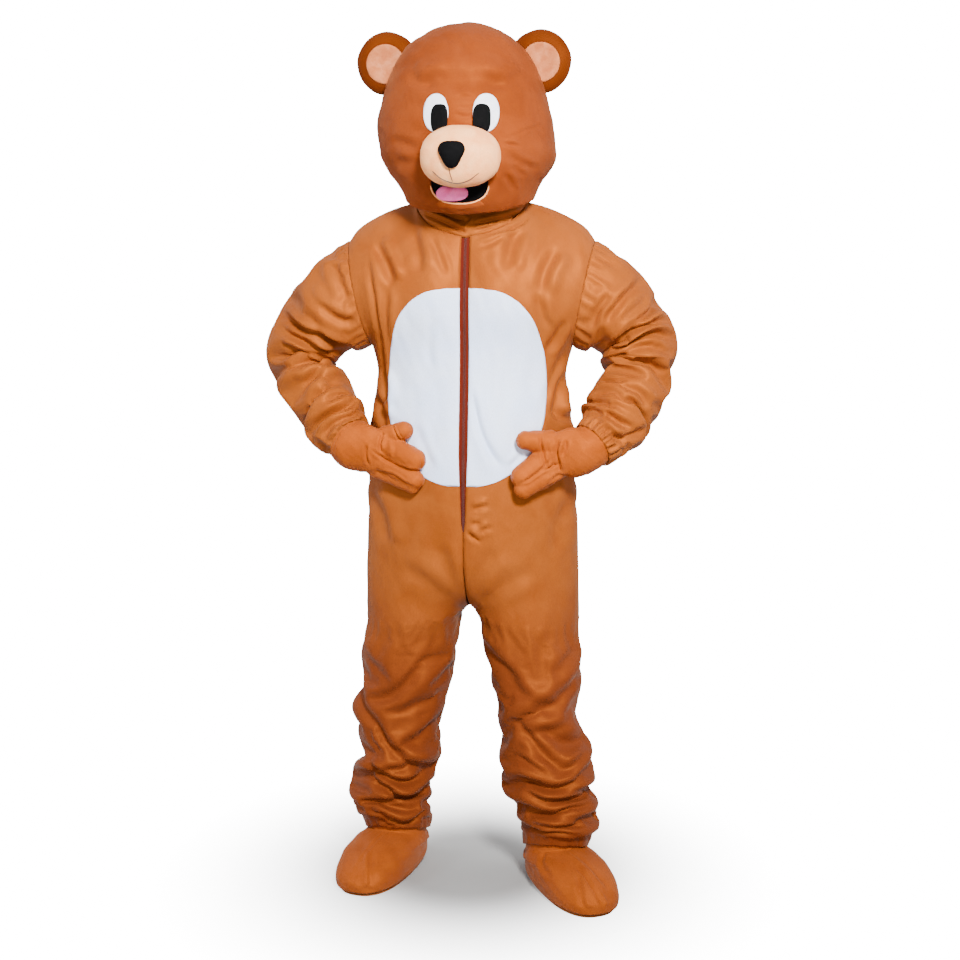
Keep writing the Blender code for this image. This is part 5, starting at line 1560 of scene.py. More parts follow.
        shop.sheet(f"{node}_plush", grid_mesh(shape, normals, True), BROWN_PLUSH, node, PLUSH)

    def settle_sleeve(self, shape: np.ndarray, centres: np.ndarray, lengths: np.ndarray) -> np.ndarray:
        """Lets a sleeve that is cut longer than the arm in it buckle at the elbow and above its cuff."""
        full = lengths[-1]
        excess = 0.075 + 0.11 * np.exp(-(((lengths - 0.5 * full) / 0.07) ** 2))
        excess = excess + 0.15 * ease((lengths - 0.6 * full) / (0.35 * full))
        free = ease(lengths / 0.05) * ease((full - 0.012 - lengths) / 0.03)
        return settled_tube(shape, centres, excess, 1.06, 1 - 0.76 * free, 55.0)

    def build_patch(self, shop: Workshop, side: int, word: str) -> None:
        """Half of the belly patch, laid on its panel, its edge turned under and sewn down."""
        shape = self.panels[word]
        panel = grid_mesh(shape, grid_normals(shape, False), False)
        surface = BVHTree.FromBMesh(panel)
        panel.free()
        levels = np.linspace(PATCH_TOP - 0.0008, PATCH_FOOT + 0.0012, self.patch_rows)
        near, far = zip_half_gap(levels) + PATCH_SETBACK, PATCH.at("out", levels)
        shares = 0.5 - 0.5 * np.cos(np.linspace(0, math.pi, self.patch_columns))
        shares = 0.5 * shares + 0.5 * np.linspace(0, 1, self.patch_columns)
        places = np.zeros((len(levels), len(shares), 3))
        outward = np.zeros_like(places)
        for i, level in enumerate(levels):
            for j, share in enumerate(shares):
                x = side * (near[i] + share * (far[i] - near[i]))
                hit, normal = surface.ray_cast(Vector((x, -1, level)), Vector((0, 1, 0)))[:2]
                outward[i, j] = normal if normal is not None and normal.y < 0 else -(normal or Vector((0, 1, 0)))
                places[i, j] = hit if hit is not None else (x, float("nan"), level)
        for row, way in zip(places, outward):
            known = ~np.isnan(row[:, 1])
            row[:, 1] = np.interp(np.arange(len(row)), np.arange(len(row))[known], row[known, 1])
            way[~known] = way[known][0]
        rim = np.minimum.reduce(
            [
                run_lengths(places, 1),
                run_lengths(places[:, ::-1], 1)[:, ::-1],
                run_lengths(places, 0),
                run_lengths(places[::-1], 0)[::-1],
            ]
        )
        height = LIFT + PATCH_PLUSH * ease(rim / 0.004) + 0.0007 * wander(places, (0.05, 0.09, 0.17), 8.0 + side)
        shape = places + unit(outward) * np.maximum(height, LIFT)[..., None]
        node, cut = f"patch_{word}", Cut((0.18, 0.44), 0.066, Hold.LAID, f"front_{word}_plush")
        shop.sheet(f"{node}_plush", grid_mesh(shape, outward, False), WHITE_PLUSH, node, 0.0006)

    def build_collar(self, shop: Workshop) -> None:
        """The standing collar, which overlaps at the centre front and goes up inside the head."""
        turns = np.linspace(0, 2, self.collar_columns + 1)
        half = np.where(turns <= 1, turns, 2 - turns)
        foot = neck_points(half) * np.where(turns <= 1, 1.0, -1.0)[:, None] ** np.array([1, 0, 0])
        middle = np.array([0.0, -0.018, 0])
        flat = foot - middle
        drawn_in = middle + flat * 0.86
        lean = np.clip((foot[:, 1] + 0.1) / 0.19, 0, 1)
        drawn_in[:, 2] = foot[:, 2] + COLLAR_HEIGHT * (1 - 0.45 * ease(lean))
        rows = []
        for share in np.linspace(1, 0, 22):
            row = foot * (1 - share) + drawn_in * share
            row = row + unit(flat * np.array([1, 1, 0])) * 0.003 * math.sin(math.pi * share)
            rows.append(row)
        points = np.array(rows)
        points[-1] += unit(points[-2] - points[-1]) * COLLAR_GAP
        outward = turned_out(grid_normals(points, True), points, points.mean(axis=(0, 1)))
        creases = crease_table(
            True,
            ((7.5, 6), -98, 1456, -50, 1438, -12, 1420, 6, 1414),
            ((5.5, 6), -70, 1466, -30, 1448, 4, 1440),
            ((7, 6.5), 120, 1456, 60, 1440, 12, 1430),
            ((5, 5.5), 100, 1446, 55, 1428, 16, 1418),
            ((4.5, 3.5), -6, 1462, 8, 1446, -6, 1428, -2, 1410),
        )
        lifted = crease_heights(creases, points, outward) + 0.0012 * wander(points, (0.06, 0.07, 0.05), 1.0)
        lifted += seam_valley(run_lengths(points[::-1], 0)[::-1], 0.0006, 0.003)
        points = points + outward * lifted[..., None]
        tucked = points[-1] - unit(flat * np.array([1, 1, 0])) * 0.004 - np.array([0, 0, 0.007])
        points, outward = np.concatenate([points, tucked[None]]), np.concatenate([outward, outward[-1:]])
        built, cut = grid_mesh(points, outward, True), Cut((0.62, 0.05), 0.024, Hold.STRETCHED)
        shop.sheet("collar_plush", built, BROWN_PLUSH, "collar", PLUSH)

    def build_zip(self, shop: Workshop) -> None:
        """The closed coil zip on its tape, between the folded edges of the front panels."""
        edge = (self.panels["left"][:, 0] + self.panels["right"][:, 0]) / 2
        heights = np.linspace(ZIP_TOP - 0.002, ZIP_FOOT - 0.002, 200)
        order = np.argsort(edge[:, 2])
        depths = np.interp(heights, edge[order, 2], edge[order, 1]) + PLUSH + ZIP_BEHIND
        across = np.linspace(-1, 1, 9)
        widths = np.maximum(zip_half_gap(heights), 0.002) + 0.003
        points = np.stack(np.broadcast_arrays(widths[:, None] * across, depths[:, None], heights[:, None]), axis=-1)
        outward = np.zeros_like(points)
        outward[..., 1] = -1
        built, cut = grid_mesh(points, outward, False), Cut((0.024, 0.634), 0.015, Hold.STRETCHED)
        shop.sheet("zip_tape", built, ZIP_TAPE, "zip", 0.0008)
        teeth = bmesh.new()
        bmesh.ops.create_cube(teeth, size=1.0)
        bmesh.ops.bevel(teeth, geom=teeth.edges, offset=0.22, segments=1, profile=0.5, affect="EDGES", material=-1)
        pattern = mesh_from("tooth", teeth)
        coil = bmesh.new()
        count = int((ZIP_TOP - ZIP_FOOT - 0.006) / self.tooth_pitch)
        for number in range(count):
            height = ZIP_TOP - 0.004 - number * self.tooth_pitch
            depth = float(np.interp(height, edge[order, 2], edge[order, 1])) + PLUSH + 0.0004
            for way in (-1, 1):
                start = len(coil.verts)
                coil.from_mesh(pattern)
                coil.verts.ensure_lookup_table()
                turn = Matrix.Rotation(way * 0.3, 4, "Y")
                place = Matrix.Translation((way * 0.0016, depth, height - (way > 0) * self.tooth_pitch / 2))
                size = Matrix.Diagonal((0.0036, 0.0016, self.tooth_pitch * 0.62, 1))
                bmesh.ops.transform(coil, matrix=place @ turn @ size, verts=coil.verts[start:])
        bpy.data.meshes.remove(pattern)
        shop.piece("zip_coil", coil, ZIP_COIL)


# ---------------------------------------------------------------- the head
Outline = Callable[[float], Pair]  # a shape's edge (x, z) by its angle

HEAD_CREASES = crease_table(
    True,
    ((4.8, 20), -112, 1730, -75, 1713, -44, 1698),
    ((4.4, 20), 40, 1699, 85, 1713, 130, 1736),
    ((3.3, 3, 0.7), 92, 1600, 122, 1616, 163, 1635),
    ((4.5, 5), 94, 1594, 104, 1590, 116, 1587),
    ((3.2, 11), 96, 1576, 115, 1557, 152, 1540),
    ((3, 10), 104, 1550, 128, 1527),
    ((3.3, 8), 90, 1535, 100, 1515, 105, 1498),
    ((2.6, 13), -150, 1606, -112, 1592, -90, 1585),
    ((2.2, 14), -140, 1560, -105, 1555, -85, 1560),
    ((4.6, 26), -100, 1722, -30, 1716, 40, 1718, 100, 1724),
    ((2.7, 5.5), -4, 1681, 12, 1684, 26, 1680),
    ((3, 6), -8, 1652, 14, 1643, 40, 1650),
    ((2.3, 5), -2, 1664, 14, 1660, 30, 1664),
    ((3.6, 14), -80, 1704, -55, 1722, -25, 1726),
    ((3, 14), 36, 1726, 64, 1722, 90, 1704),
    ((2.3, 4.5), 1, 1800, 2, 1780, 6, 1766),
    ((1.8, 16), -150, 1740, -120, 1755, -80, 1752),
) + crease_table(
    False,
    ((3, 3, 0.6), 0, 1846, 0, 1700, 0, 1560, 0, 1480),
    ((4.5, 12), -150, 1580, -80, 1560, 10, 1556),
    ((4.5, 12), 150, 1600, 90, 1575, 20, 1572),
)


def mouth_outline(angle: np.ndarray) -> np.ndarray:
    """The open mouth's edge around its centre, a shallow bowl whose top is under the muzzle."""
    c, s = np.cos(angle), np.sin(angle)
    height = np.where(s > 0, MOUTH["top"] - MOUTH["corner"], MOUTH["corner"] - MOUTH["bottom"])
    across = MOUTH["half_width"] * np.sign(c) * np.abs(c) ** 0.8
    return np.stack([across, height * np.sign(s) * np.abs(s) ** 0.9], axis=-1)


def oval(half_width: float, half_height: float, square: float = 1.0) -> Outline:
    """An ellipse as an outline for a pad; square below 1 fills its corners."""

    def outline(angle: float) -> Pair:
        """The outline's point (x, z) at an angle."""
        c, s = math.cos(angle), math.sin(angle)
        x, z = abs(c) ** square, abs(s) ** square
        return half_width * math.copysign(x, c), half_height * math.copysign(z, s)

    return outline


def dome(stands: float, edge: float = 0.0015, power: float = 2.4) -> Callable[[float], float]:
    """The rounded front of a pad: this high in its middle and edge at its rim, by share of its radius."""

    def height(share: float) -> float:
        """The height at a share of the radius."""
        return LIFT + edge + (stands - edge) * math.sqrt(max(1 - share**power, 0.0))

    return height


@dataclass
class Pad:
    """A stuffed or foam shape set on a surface, from a ball that is laid on it and domed."""

    surface: BVHTree
    middle: np.ndarray
    centre: Pair
    outline: Outline
    front: Callable[[float], float]
    back: float = LIFT
    spokes: int = 64
    rings: int = 24

    def mesh(self) -> BMesh:
        """Builds the closed pad."""
        built = bmesh.new()
        bmesh.ops.create_uvsphere(built, u_segments=self.spokes, v_segments=2 * self.rings, radius=1.0)
        for vert in built.verts:
            x, y, height = vert.co
            polar = math.acos(max(-1.0, min(1.0, abs(height)))) / (math.pi / 2)
            share = min(polar, 1.0)
            dx, dz = self.outline(math.atan2(y, x))
            place, out = lay(self.surface, self.centre[0] + share * dx, self.centre[1] + share * dz, self.middle)
            stands = self.front(share) if height > -1e-6 else self.back
            vert.co = place + out * stands
        bmesh.ops.recalc_face_normals(built, faces=built.faces)
        return built


@dataclass
class Head:
    """The round head, its ears, eyes, muzzle, nose and open mouth."""

    columns: int = 168
    rows: int = 130
    centre: np.ndarray = field(default_factory=lambda: np.array([-0.004, -HEAD_AHEAD, 1.62]))
    thread: float = 0.00087

    def grid(self) -> tuple[np.ndarray, np.ndarray]:
        """The head's smooth outside from the crown to its lower edge, and the directions out of it."""
        turns = np.linspace(0, TURN, self.columns + 1)
        shares = np.linspace(0.006, 1, self.rows)
        rows = []
        for share in shares:
            height, out, half_width, front, back, chin = (float(HEAD.at(name, share)) for name in HEAD.names[1:])
            depth = np.where(np.cos(turns) > 0, front, back)
            droop = chin * np.clip(np.cos(turns), 0, 1) ** 1.4
            rows.append(
                np.stack(
                    [out + half_width * np.sin(turns), -HEAD_AHEAD - depth * np.cos(turns), height - droop], axis=1
                )
            )
        points = np.array(rows)
        return points, turned_out(grid_normals(points, True), points, self.centre)

    def build(self, shop: Workshop) -> None:
        """Makes the head and everything set on it."""
        points, outward = self.grid()
        lifted = crease_heights(HEAD_CREASES, points, outward)
        lifted += 0.0013 * wander(points, (0.09, 0.1, 0.08), 1.4) + 0.0005 * wander(points, (0.03, 0.03, 0.03), 2.2)
        rise = run_lengths(points[::-1], 0)[::-1]
        lifted += seam_valley(rise, 0.002, 0.004)
        shape = points + outward * lifted[..., None]
        built = grid_mesh(shape, outward, True)
        rim = [v for v in built.verts if v.co.z > HEAD.at("height", 0.02)]
        crown = [e for e in built.edges if e.is_boundary and all(v in rim for v in e.verts)]
        bmesh.ops.holes_fill(built, edges=crown, sides=0)
        face = BVHTree.FromBMesh(built)
        smooth = grid_mesh(points, outward, True)
        base = BVHTree.FromBMesh(smooth)
        smooth.free()
        self.cut_mouth(built, face)
        shop.sheet("head_plush", built, HEAD_PLUSH, "head", HEAD_SHELL)
        self.build_eyes(shop, base)
        self.build_muzzle(shop, base)
        self.build_mouth(shop, base)
        self.build_ears(shop, base)

    def cut_mouth(self, built: BMesh, face: BVHTree) -> None:
        """Opens the mouth and draws the opening's edge onto its outline."""
        angles = np.linspace(-math.pi, math.pi, 361)
        outline = mouth_outline(angles)
        radii = np.linalg.norm(outline, axis=1)
        around = np.arctan2(outline[:, 1], outline[:, 0])
        order = np.argsort(around)

        def radius(x: float, z: float) -> float:
            """How far the mouth's edge lies from its centre on the way to (x, z)."""
            return float(np.interp(math.atan2(z, x), around[order], radii[order], period=TURN))

        def local(place: Vector) -> Pair:
            """A place around the mouth's centre."""
            return place.x - MOUTH["out"], place.z - MOUTH["corner"]

        inside = []
        for part in built.faces:
            centre = part.calc_center_median()
            x, z = local(centre)
            if centre.y < -0.1 and math.hypot(x, z) < radius(x, z):
                inside.append(part)
        bmesh.ops.delete(built, geom=inside, context="FACES")
        for vert in built.verts:
            x, z = local(vert.co)
            if vert.is_boundary and vert.co.y < -0.1 and math.hypot(x, z) < 0.09:
                scale = radius(x, z) / max(math.hypot(x, z), 1e-6)
                place, _ = lay(face, MOUTH["out"] + x * scale, MOUTH["corner"] + z * scale, self.centre)
                vert.co = place

    def above_muzzle(self, outline: Outline, centre: Pair) -> Outline:
        """An outline whose foot is cut off along the muzzle's upper edge."""

        def cut_outline(angle: float) -> Pair:
            """The outline's point (x, z) at an angle."""
            x, z = outline(angle)
            share = min(abs(centre[0] + x - FACE_OUT) / MUZZLE["half_width"], 1.0)
            edge = MUZZLE["height"] + MUZZLE["half_height"] * math.sqrt(1 - share**2)
            return x, max(z, edge + 0.001 - centre[1])

        return cut_outline

    def build_eyes(self, shop: Workshop, base: BVHTree) -> None:
        """White padded eyes with black pupils, their feet tucked behind the muzzle."""
        for side, word in SIDES:
            centre = (FACE_OUT + side * EYE["out"], EYE["height"])
            shape = self.above_muzzle(oval(EYE["half_width"], EYE["half_height"], 0.94), centre)
            pad = Pad(base, self.centre, centre, shape, dome(EYE_PAD, 0.0012, 5))
            shop.pad(f"eye_{word}_pad", pad.mesh(), EYE_FLEECE, "white_plush", f"eye_{word}", 0.8)
            centre = (FACE_OUT + side * PUPIL["out"], PUPIL["height"])
            shape = self.above_muzzle(oval(PUPIL["half_width"], PUPIL["half_height"], 0.7), centre)
            lift = EYE_PAD + 2 * LIFT
            pad = Pad(
                base, self.centre, centre, shape, lambda share: lift + PUPIL_PAD * (1 - 0.6 * share**4), back=EYE_PAD
            )
            shop.pad(f"pupil_{word}_pad", pad.mesh(), BLACK_FLEECE, "black_felt", f"pupil_{word}", 0.8)

    def build_muzzle(self, shop: Workshop, base: BVHTree) -> None:
        """The stuffed muzzle with its embroidered smile, and the nose."""
        centre = (FACE_OUT, MUZZLE["height"])
        shape = oval(MUZZLE["half_width"], MUZZLE["half_height"], 0.92)
        built = Pad(base, self.centre, centre, shape, dome(MUZZLE["stands"]), 0.0012, 112, 44).mesh()
        smoothed(built, 1)
        smile = crease_table(
            True,
            ((1.6, 3), -46, 1535, -26, 1519, 1, 1511, 26, 1516, 48, 1531),
            ((1.4, 2.8), -12, 1548, -9, 1530, -5, 1514),
        )
        points = np.array([vert.co for vert in built.verts])
        displaced(built, smile, 0.0007 * wander(points, (0.05, 0.05, 0.05), 3.1))
        surface = BVHTree.FromBMesh(built)
        inside = np.mean(points, axis=0)
        shop.pad("muzzle_pad", built, CREAM_FLEECE, "cream_plush", "muzzle", 1.0)

        def nose_outline(angle: float) -> Pair:
            """A rounded triangle that points down."""
            radius = 1 + 0.13 * math.sin(3 * angle) - 0.03 * math.cos(2 * angle)
            return NOSE["half_width"] * radius * math.cos(angle), NOSE["half_height"] * radius * math.sin(angle)

        pad = Pad(surface, inside, (FACE_OUT - 0.008, NOSE["height"]), nose_outline, dome(NOSE["stands"], 0.001), 0.0)
        shop.pad("nose_pad", pad.mesh(), BLACK_FLEECE, "black_felt", "nose", 1.0)
        for number, crease in enumerate(smile):
            self.build_thread(shop, f"smile_stitch_{number}", crease.line(), surface, inside)

    def build_thread(self, shop: Workshop, name: str, line: np.ndarray, surface: BVHTree, inside: np.ndarray) -> None:
        """A line of embroidery on a surface: a thick thread, half sunk in the plush."""
        steps, sides = 72, 8
        lengths = run_lengths(line[:, None], 0)[:, 0]
        walk = np.linspace(0, lengths[-1], steps)
        flat = np.stack([np.interp(walk, lengths, line[:, k]) for k in range(2)], axis=1)
        laid = [lay(surface, x, z, inside) for x, z in flat]
        places = np.array([place for place, _ in laid])
        out = np.array([way for _, way in laid])
        ahead = unit(np.gradient(places, axis=0))
        beside = unit(np.cross(ahead, out))
        taper = np.sqrt(np.clip(np.minimum(walk, lengths[-1] - walk) / 0.004, 0.15, 1))
        radius = self.thread * taper * (1 + 0.12 * np.sin(walk / 0.0022 * TURN))
        ways = ring_ways(out, beside, sides)
        points = places[:, None] + radius[:, None, None] * ways + 0.0002 * out[:, None]
        shop.piece(name, capped(grid_mesh(points, ways, True)), DARK_THREAD)

    def build_mouth(self, shop: Workshop, base: BVHTree) -> None:
        """The dark dish of the mouth, its piped lower lip and the tongue."""
        centre = (MOUTH["out"], MOUTH["corner"])

        def wider(angle: float) -> Pair:
            """The mouth's outline, grown."""
            x, z = mouth_outline(np.array(angle))
            return LINING_GROWN * float(x), LINING_GROWN * float(z)

        def dish(share: float) -> float:
            """How deep the dish is at a share of its radius."""
            return -(HEAD_SHELL + 0.0006) - MOUTH_DEPTH * (1 - share**2)

        built = bmesh.new()
        bmesh.ops.create_circle(built, cap_ends=False, segments=96, radius=1.0)
        shell = built.edges[:]
        shares = [1.0, 0.9, 0.78, 0.64, 0.5, 0.36, 0.22, 0.1]
        loops = [list(built.verts)]
        for _ in shares[1:]:
            grown = bmesh.ops.extrude_edge_only(built, edges=shell)["geom"]
            shell = [g for g in grown if isinstance(g, BMEdge)]
            loops.append([g for g in grown if isinstance(g, BMVert)])
        for loop, share in zip(loops, shares):
            for vert in loop:
                angle = math.atan2(vert.co.y, vert.co.x)
                x, z = wider(angle)
                place, out = lay(base, centre[0] + share * x, centre[1] + share * z, self.centre)
                vert.co = place + out * dish(share)
        bmesh.ops.holes_fill(built, edges=shell, sides=0)
        built.normal_update()
        if sum(f.normal.y for f in built.faces) > 0:
            bmesh.ops.reverse_faces(built, faces=built.faces)
        shop.sheet("mouth_lining_cloth", built, BLACK_FLEECE, "mouth_lining", 0.0015)
        centre = (MOUTH["out"] + TONGUE["out"], TONGUE["height"])

        def tongue_outline(angle: float) -> Pair:
            """A wide rounded shape with a small notch in the middle of its top."""
            x, z = oval(TONGUE["half_width"], TONGUE["half_height"], 0.85)(angle)
            notch = 0.005 * math.exp(-(((angle - math.pi / 2) / 0.26) ** 2))
            return x, z - notch

        top = dome(TONGUE["stands"], 0.003)

        def tongue_front(share: float) -> float:
            """How far the tongue stands at a share of its radius."""
            return top(share) - TONGUE["sunk"]

        pad = Pad(base, self.centre, centre, tongue_outline, tongue_front, -TONGUE["foot"])
        shop.pad("tongue_pad", pad.mesh(), TONGUE_FLEECE, "tongue_pink", "tongue", 0.8)
        order = np.arange(80)
        angles = -math.pi * (0.035 + 0.93 * np.linspace(0, 1, len(order)))
        edge = mouth_outline(angles) + np.array([MOUTH["out"], MOUTH["corner"]])
        laid = [lay(base, x, z, self.centre) for x, z in edge]
        places = np.array([place + out * 0.0008 for place, out in laid])
        out = np.array([way for _, way in laid])
        beside = unit(np.cross(unit(np.gradient(places, axis=0)), out))
        ways = ring_ways(out, beside, 16)
        taper = np.sqrt(np.clip(np.minimum(order, order[::-1]) / 4, 0.2, 1))
        points = places[:, None] + RIM_RADIUS * taper[:, None, None] * ways
        piping = capped(grid_mesh(points, ways, True))
        shop.piece("mouth_piping", piping, CREAM_FLEECE, ["mouth_rim"])

    def build_ears(self, shop: Workshop, base: BVHTree) -> None:
        """Two stuffed ears with pale inner discs, seated on the head."""
        for side, word in SIDES:
            centre = Vector((EARS_OUT + side * EAR["out"], -EAR["ahead"], EAR["height"]))
            built = bmesh.new()
            bmesh.ops.create_uvsphere(built, u_segments=96, v_segments=56, radius=1.0)
            for vert in built.verts:
                x, y, depth = vert.co
                share = math.hypot(x, y)
                puff = math.copysign(math.sqrt(max(1 - share**3, 0.0)), depth)
                angle = math.atan2(y, x)
                dish = 0.0075 * math.exp(-((share / 0.5) ** 4)) if depth > 0 else 0.0
                ripple = 1 + 0.006 * math.sin(5 * angle + side) + 0.004 * math.sin(9 * angle)
                vert.co = centre + Vector(
                    (
                        EAR["radius"] * x * ripple,
                        -EAR["half_depth"] * (0.12 * math.copysign(1 - share**8, depth) + 0.88 * puff) + dish,
                        EAR["radius"] * y * ripple,
                    )
                )
            built.normal_update()
            bmesh.ops.recalc_face_normals(built, faces=built.faces)
            surface = BVHTree.FromBMesh(built)
            self.seat(built, base)
            shop.pad(f"ear_{word}_plush", built, EAR_PLUSH, "plush_brown", f"ear_{word}", 0.8)
            at = (centre.x + side * EAR_LINING["out"], centre.z + EAR_LINING["height"])
            shape = oval(EAR_LINING["radius"], EAR_LINING["radius"])
            inside = np.array(centre) + np.array([0, 0.2, 0])
            pad = Pad(surface, inside, at, shape, dome(EAR_LINING["stands"], 0.0006, 5), 0.0)
            lining = pad.mesh()
            self.seat(lining, base)
            shop.pad(f"ear_lining_{word}_plush", lining, EAR_FLEECE, "ear_pink", f"ear_lining_{word}", 0.6)

    def seat(self, built: BMesh, base: BVHTree) -> None:
        """Moves what would be inside the head onto its outside."""
        for vert in built.verts:
            place, normal = base.find_nearest(vert.co)[:2]
            if normal.dot(vert.co - place) < 0:
                vert.co = place + normal * -0.001


# ---------------------------------------------------------------- mittens and boot covers
RIGHT_MITT_CREASES = crease_table(
    True,
    ((4.4, 4.5), -172, 996, -177, 973, -176, 954),
    ((4.2, 4.5), -206, 970, -209, 948, -203, 922),
    ((3.4, 3, 0.4), -152, 1010, -142, 991, -133, 975),
    ((1.8, 2.6, 0.3), -141, 1007, -134, 993, -129, 981),
    ((3, 4.5), -199, 962, -180, 946, -146, 928, -108, 919, -84, 914),
    ((2.4, 4), -190, 912, -151, 906, -123, 892, -96, 882),
    ((-2, 7), -158, 980, -152, 962, -156, 946),
    ((1.8, 3), -88, 948, -86, 932, -90, 920),
)
LEFT_MITT_CREASES = crease_table(
    True,
    ((5, 5), 206, 990, 198, 962, 204, 936, 203, 917),
    ((4.4, 4.5), 163, 998, 167, 970, 174, 942, 179, 926),
    ((3.6, 4.5), 183, 944, 174, 929, 158, 918),
    ((3, 4.5), 209, 936, 184, 927, 159, 915, 139, 902, 120, 894),
    ((3, 5), 222, 905, 202, 908, 183, 893),
    ((3, 5), 216, 988, 218, 971, 210, 951),
    ((-2.4, 8), 184, 990, 186, 965, 190, 945),
)


@dataclass
class Mitten:
    """A mitten with a thumb and three fingers, stuffed out by the hand that is left out of it."""

    word: str
    side: int
    palm: Table
    lobes: Table
    creases: tuple[Crease, ...]
    voxel: float = 0.0024
    cuff_past: float = 0.012

    def lobe(self, built: BMesh, row: dict[str, float]) -> None:
        """Adds one round-ended finger."""
        start = np.array([self.side * row["out"], -row["ahead"], row["height"]])
        end = np.array([self.side * row["tip_out"], -row["tip_ahead"], row["tip_height"]])
        along = unit(end - start)
        first = unit(np.array([0, 0, 1.0]) - along[2] * along)
        second = np.cross(along, first)
        grown = bmesh.ops.create_uvsphere(built, u_segments=32, v_segments=24, radius=1.0)["verts"]
        for vert in grown:
            x, y, z = vert.co
            share = math.acos(max(-1.0, min(1.0, -z))) / math.pi
            across = Vector((x, y)).normalized() if math.hypot(x, y) > 1e-6 else Vector((0, 0))
            if share < 0.25:
                swing = share / 0.25 * math.pi / 2
                radius = row["root_radius"]
                place, size = start - along * radius * math.cos(swing), radius * math.sin(swing)
            elif share > 0.75:
                swing = (1 - share) / 0.25 * math.pi / 2
                radius = row["tip_radius"]
                place, size = end + along * radius * math.cos(swing), radius * math.sin(swing)
            else:
                t = (share - 0.25) / 0.5
                place = start + (end - start) * t
                size = row["root_radius"] + (row["tip_radius"] - row["root_radius"]) * t
            vert.co = place + (first * across.x + second * across.y) * size

    def hand(self) -> tuple[BMesh, np.ndarray, np.ndarray]:
        """The palm and its lobes as overlapping closed forms, with the cuff's centre and direction."""
        shares = np.linspace(0, 1, 40)
        centres = np.stack(
            [self.side * self.palm.at("out", shares), -self.palm.at("ahead", shares), self.palm.at("height", shares)],
            axis=1,
        )
        across, deep = self.palm.at("across", shares), self.palm.at("deep", shares)
        past = unit(centres[0] - centres[1]) * self.cuff_past
        cuff, out_of = centres[0].copy(), unit(past)
        centres = np.concatenate([[centres[0] + past], centres])
        across, deep = np.append(across[0], across), np.append(deep[0], deep)
        along = unit(np.gradient(centres, axis=0))
        guide = np.array([self.side * 0.25, 0, 1.0])
        first = unit(guide - (along @ guide)[:, None] * along)
        second = np.cross(along, first)
        ways = ring_ways(first * across[:, None], second * deep[:, None], 64)
        built = capped(grid_mesh(centres[:, None] + ways, ways, True))
        for row in self.lobes:
            self.lobe(built, row)
        bmesh.ops.recalc_face_normals(built, faces=built.faces)
        return built, cuff, out_of

    def build(self, shop: Workshop) -> None:
        """Joins the forms into one skin, softens it, creases it and opens its cuff."""
        built, cuff, out_of = self.hand()
        joined = remeshed(built, self.voxel)
        smoothed(joined, 6)
        points = np.array([vert.co for vert in joined.verts])
        lifted = 0.0008 * wander(points, (0.035, 0.04, 0.035), 2.0 + self.side) + 0.0009
        down = -(points - cuff) @ out_of
        lifted -= 0.001 * np.exp(-(((down - 0.004) / 0.003) ** 2))
        lifted -= 0.0007 * np.exp(-(((down - 0.014) / 0.0018) ** 2))
        displaced(joined, self.creases, lifted)
        bmesh.ops.bisect_plane(
            joined,
            geom=joined.verts[:] + joined.edges[:] + joined.faces[:],
            dist=SEWN_CLOSER,
            plane_co=cuff,
            plane_no=out_of,
            clear_outer=True,
        )
        node, cut = f"mitt_{self.word}", Cut((0.3, 0.24), 0.064, Hold.STRETCHED)
        shop.sheet(f"{node}_fleece", joined, MITT_FLEECE, node, MITT_PLUSH)


def remeshed(built: BMesh, voxel: float) -> BMesh:
    """One even skin round overlapping closed forms.

    Args:
        built: the forms; the mesh is used up.
        voxel: the size of the new skin's cells.

    Returns:
        The skin.
    """
    mesh = mesh_from("forms", built)
    holder = linked("forms", mesh)
    step = holder.modifiers.new("skin", "REMESH")
    step.mode, step.voxel_size = "VOXEL", voxel
    bpy.context.view_layer.update()
    evaluated = holder.evaluated_get(bpy.context.evaluated_depsgraph_get())
    skin = bmesh.new()
    skin.from_mesh(evaluated.to_mesh())
    evaluated.to_mesh_clear()
    bpy.data.objects.remove(holder)
    bpy.data.meshes.remove(mesh)
    return skin


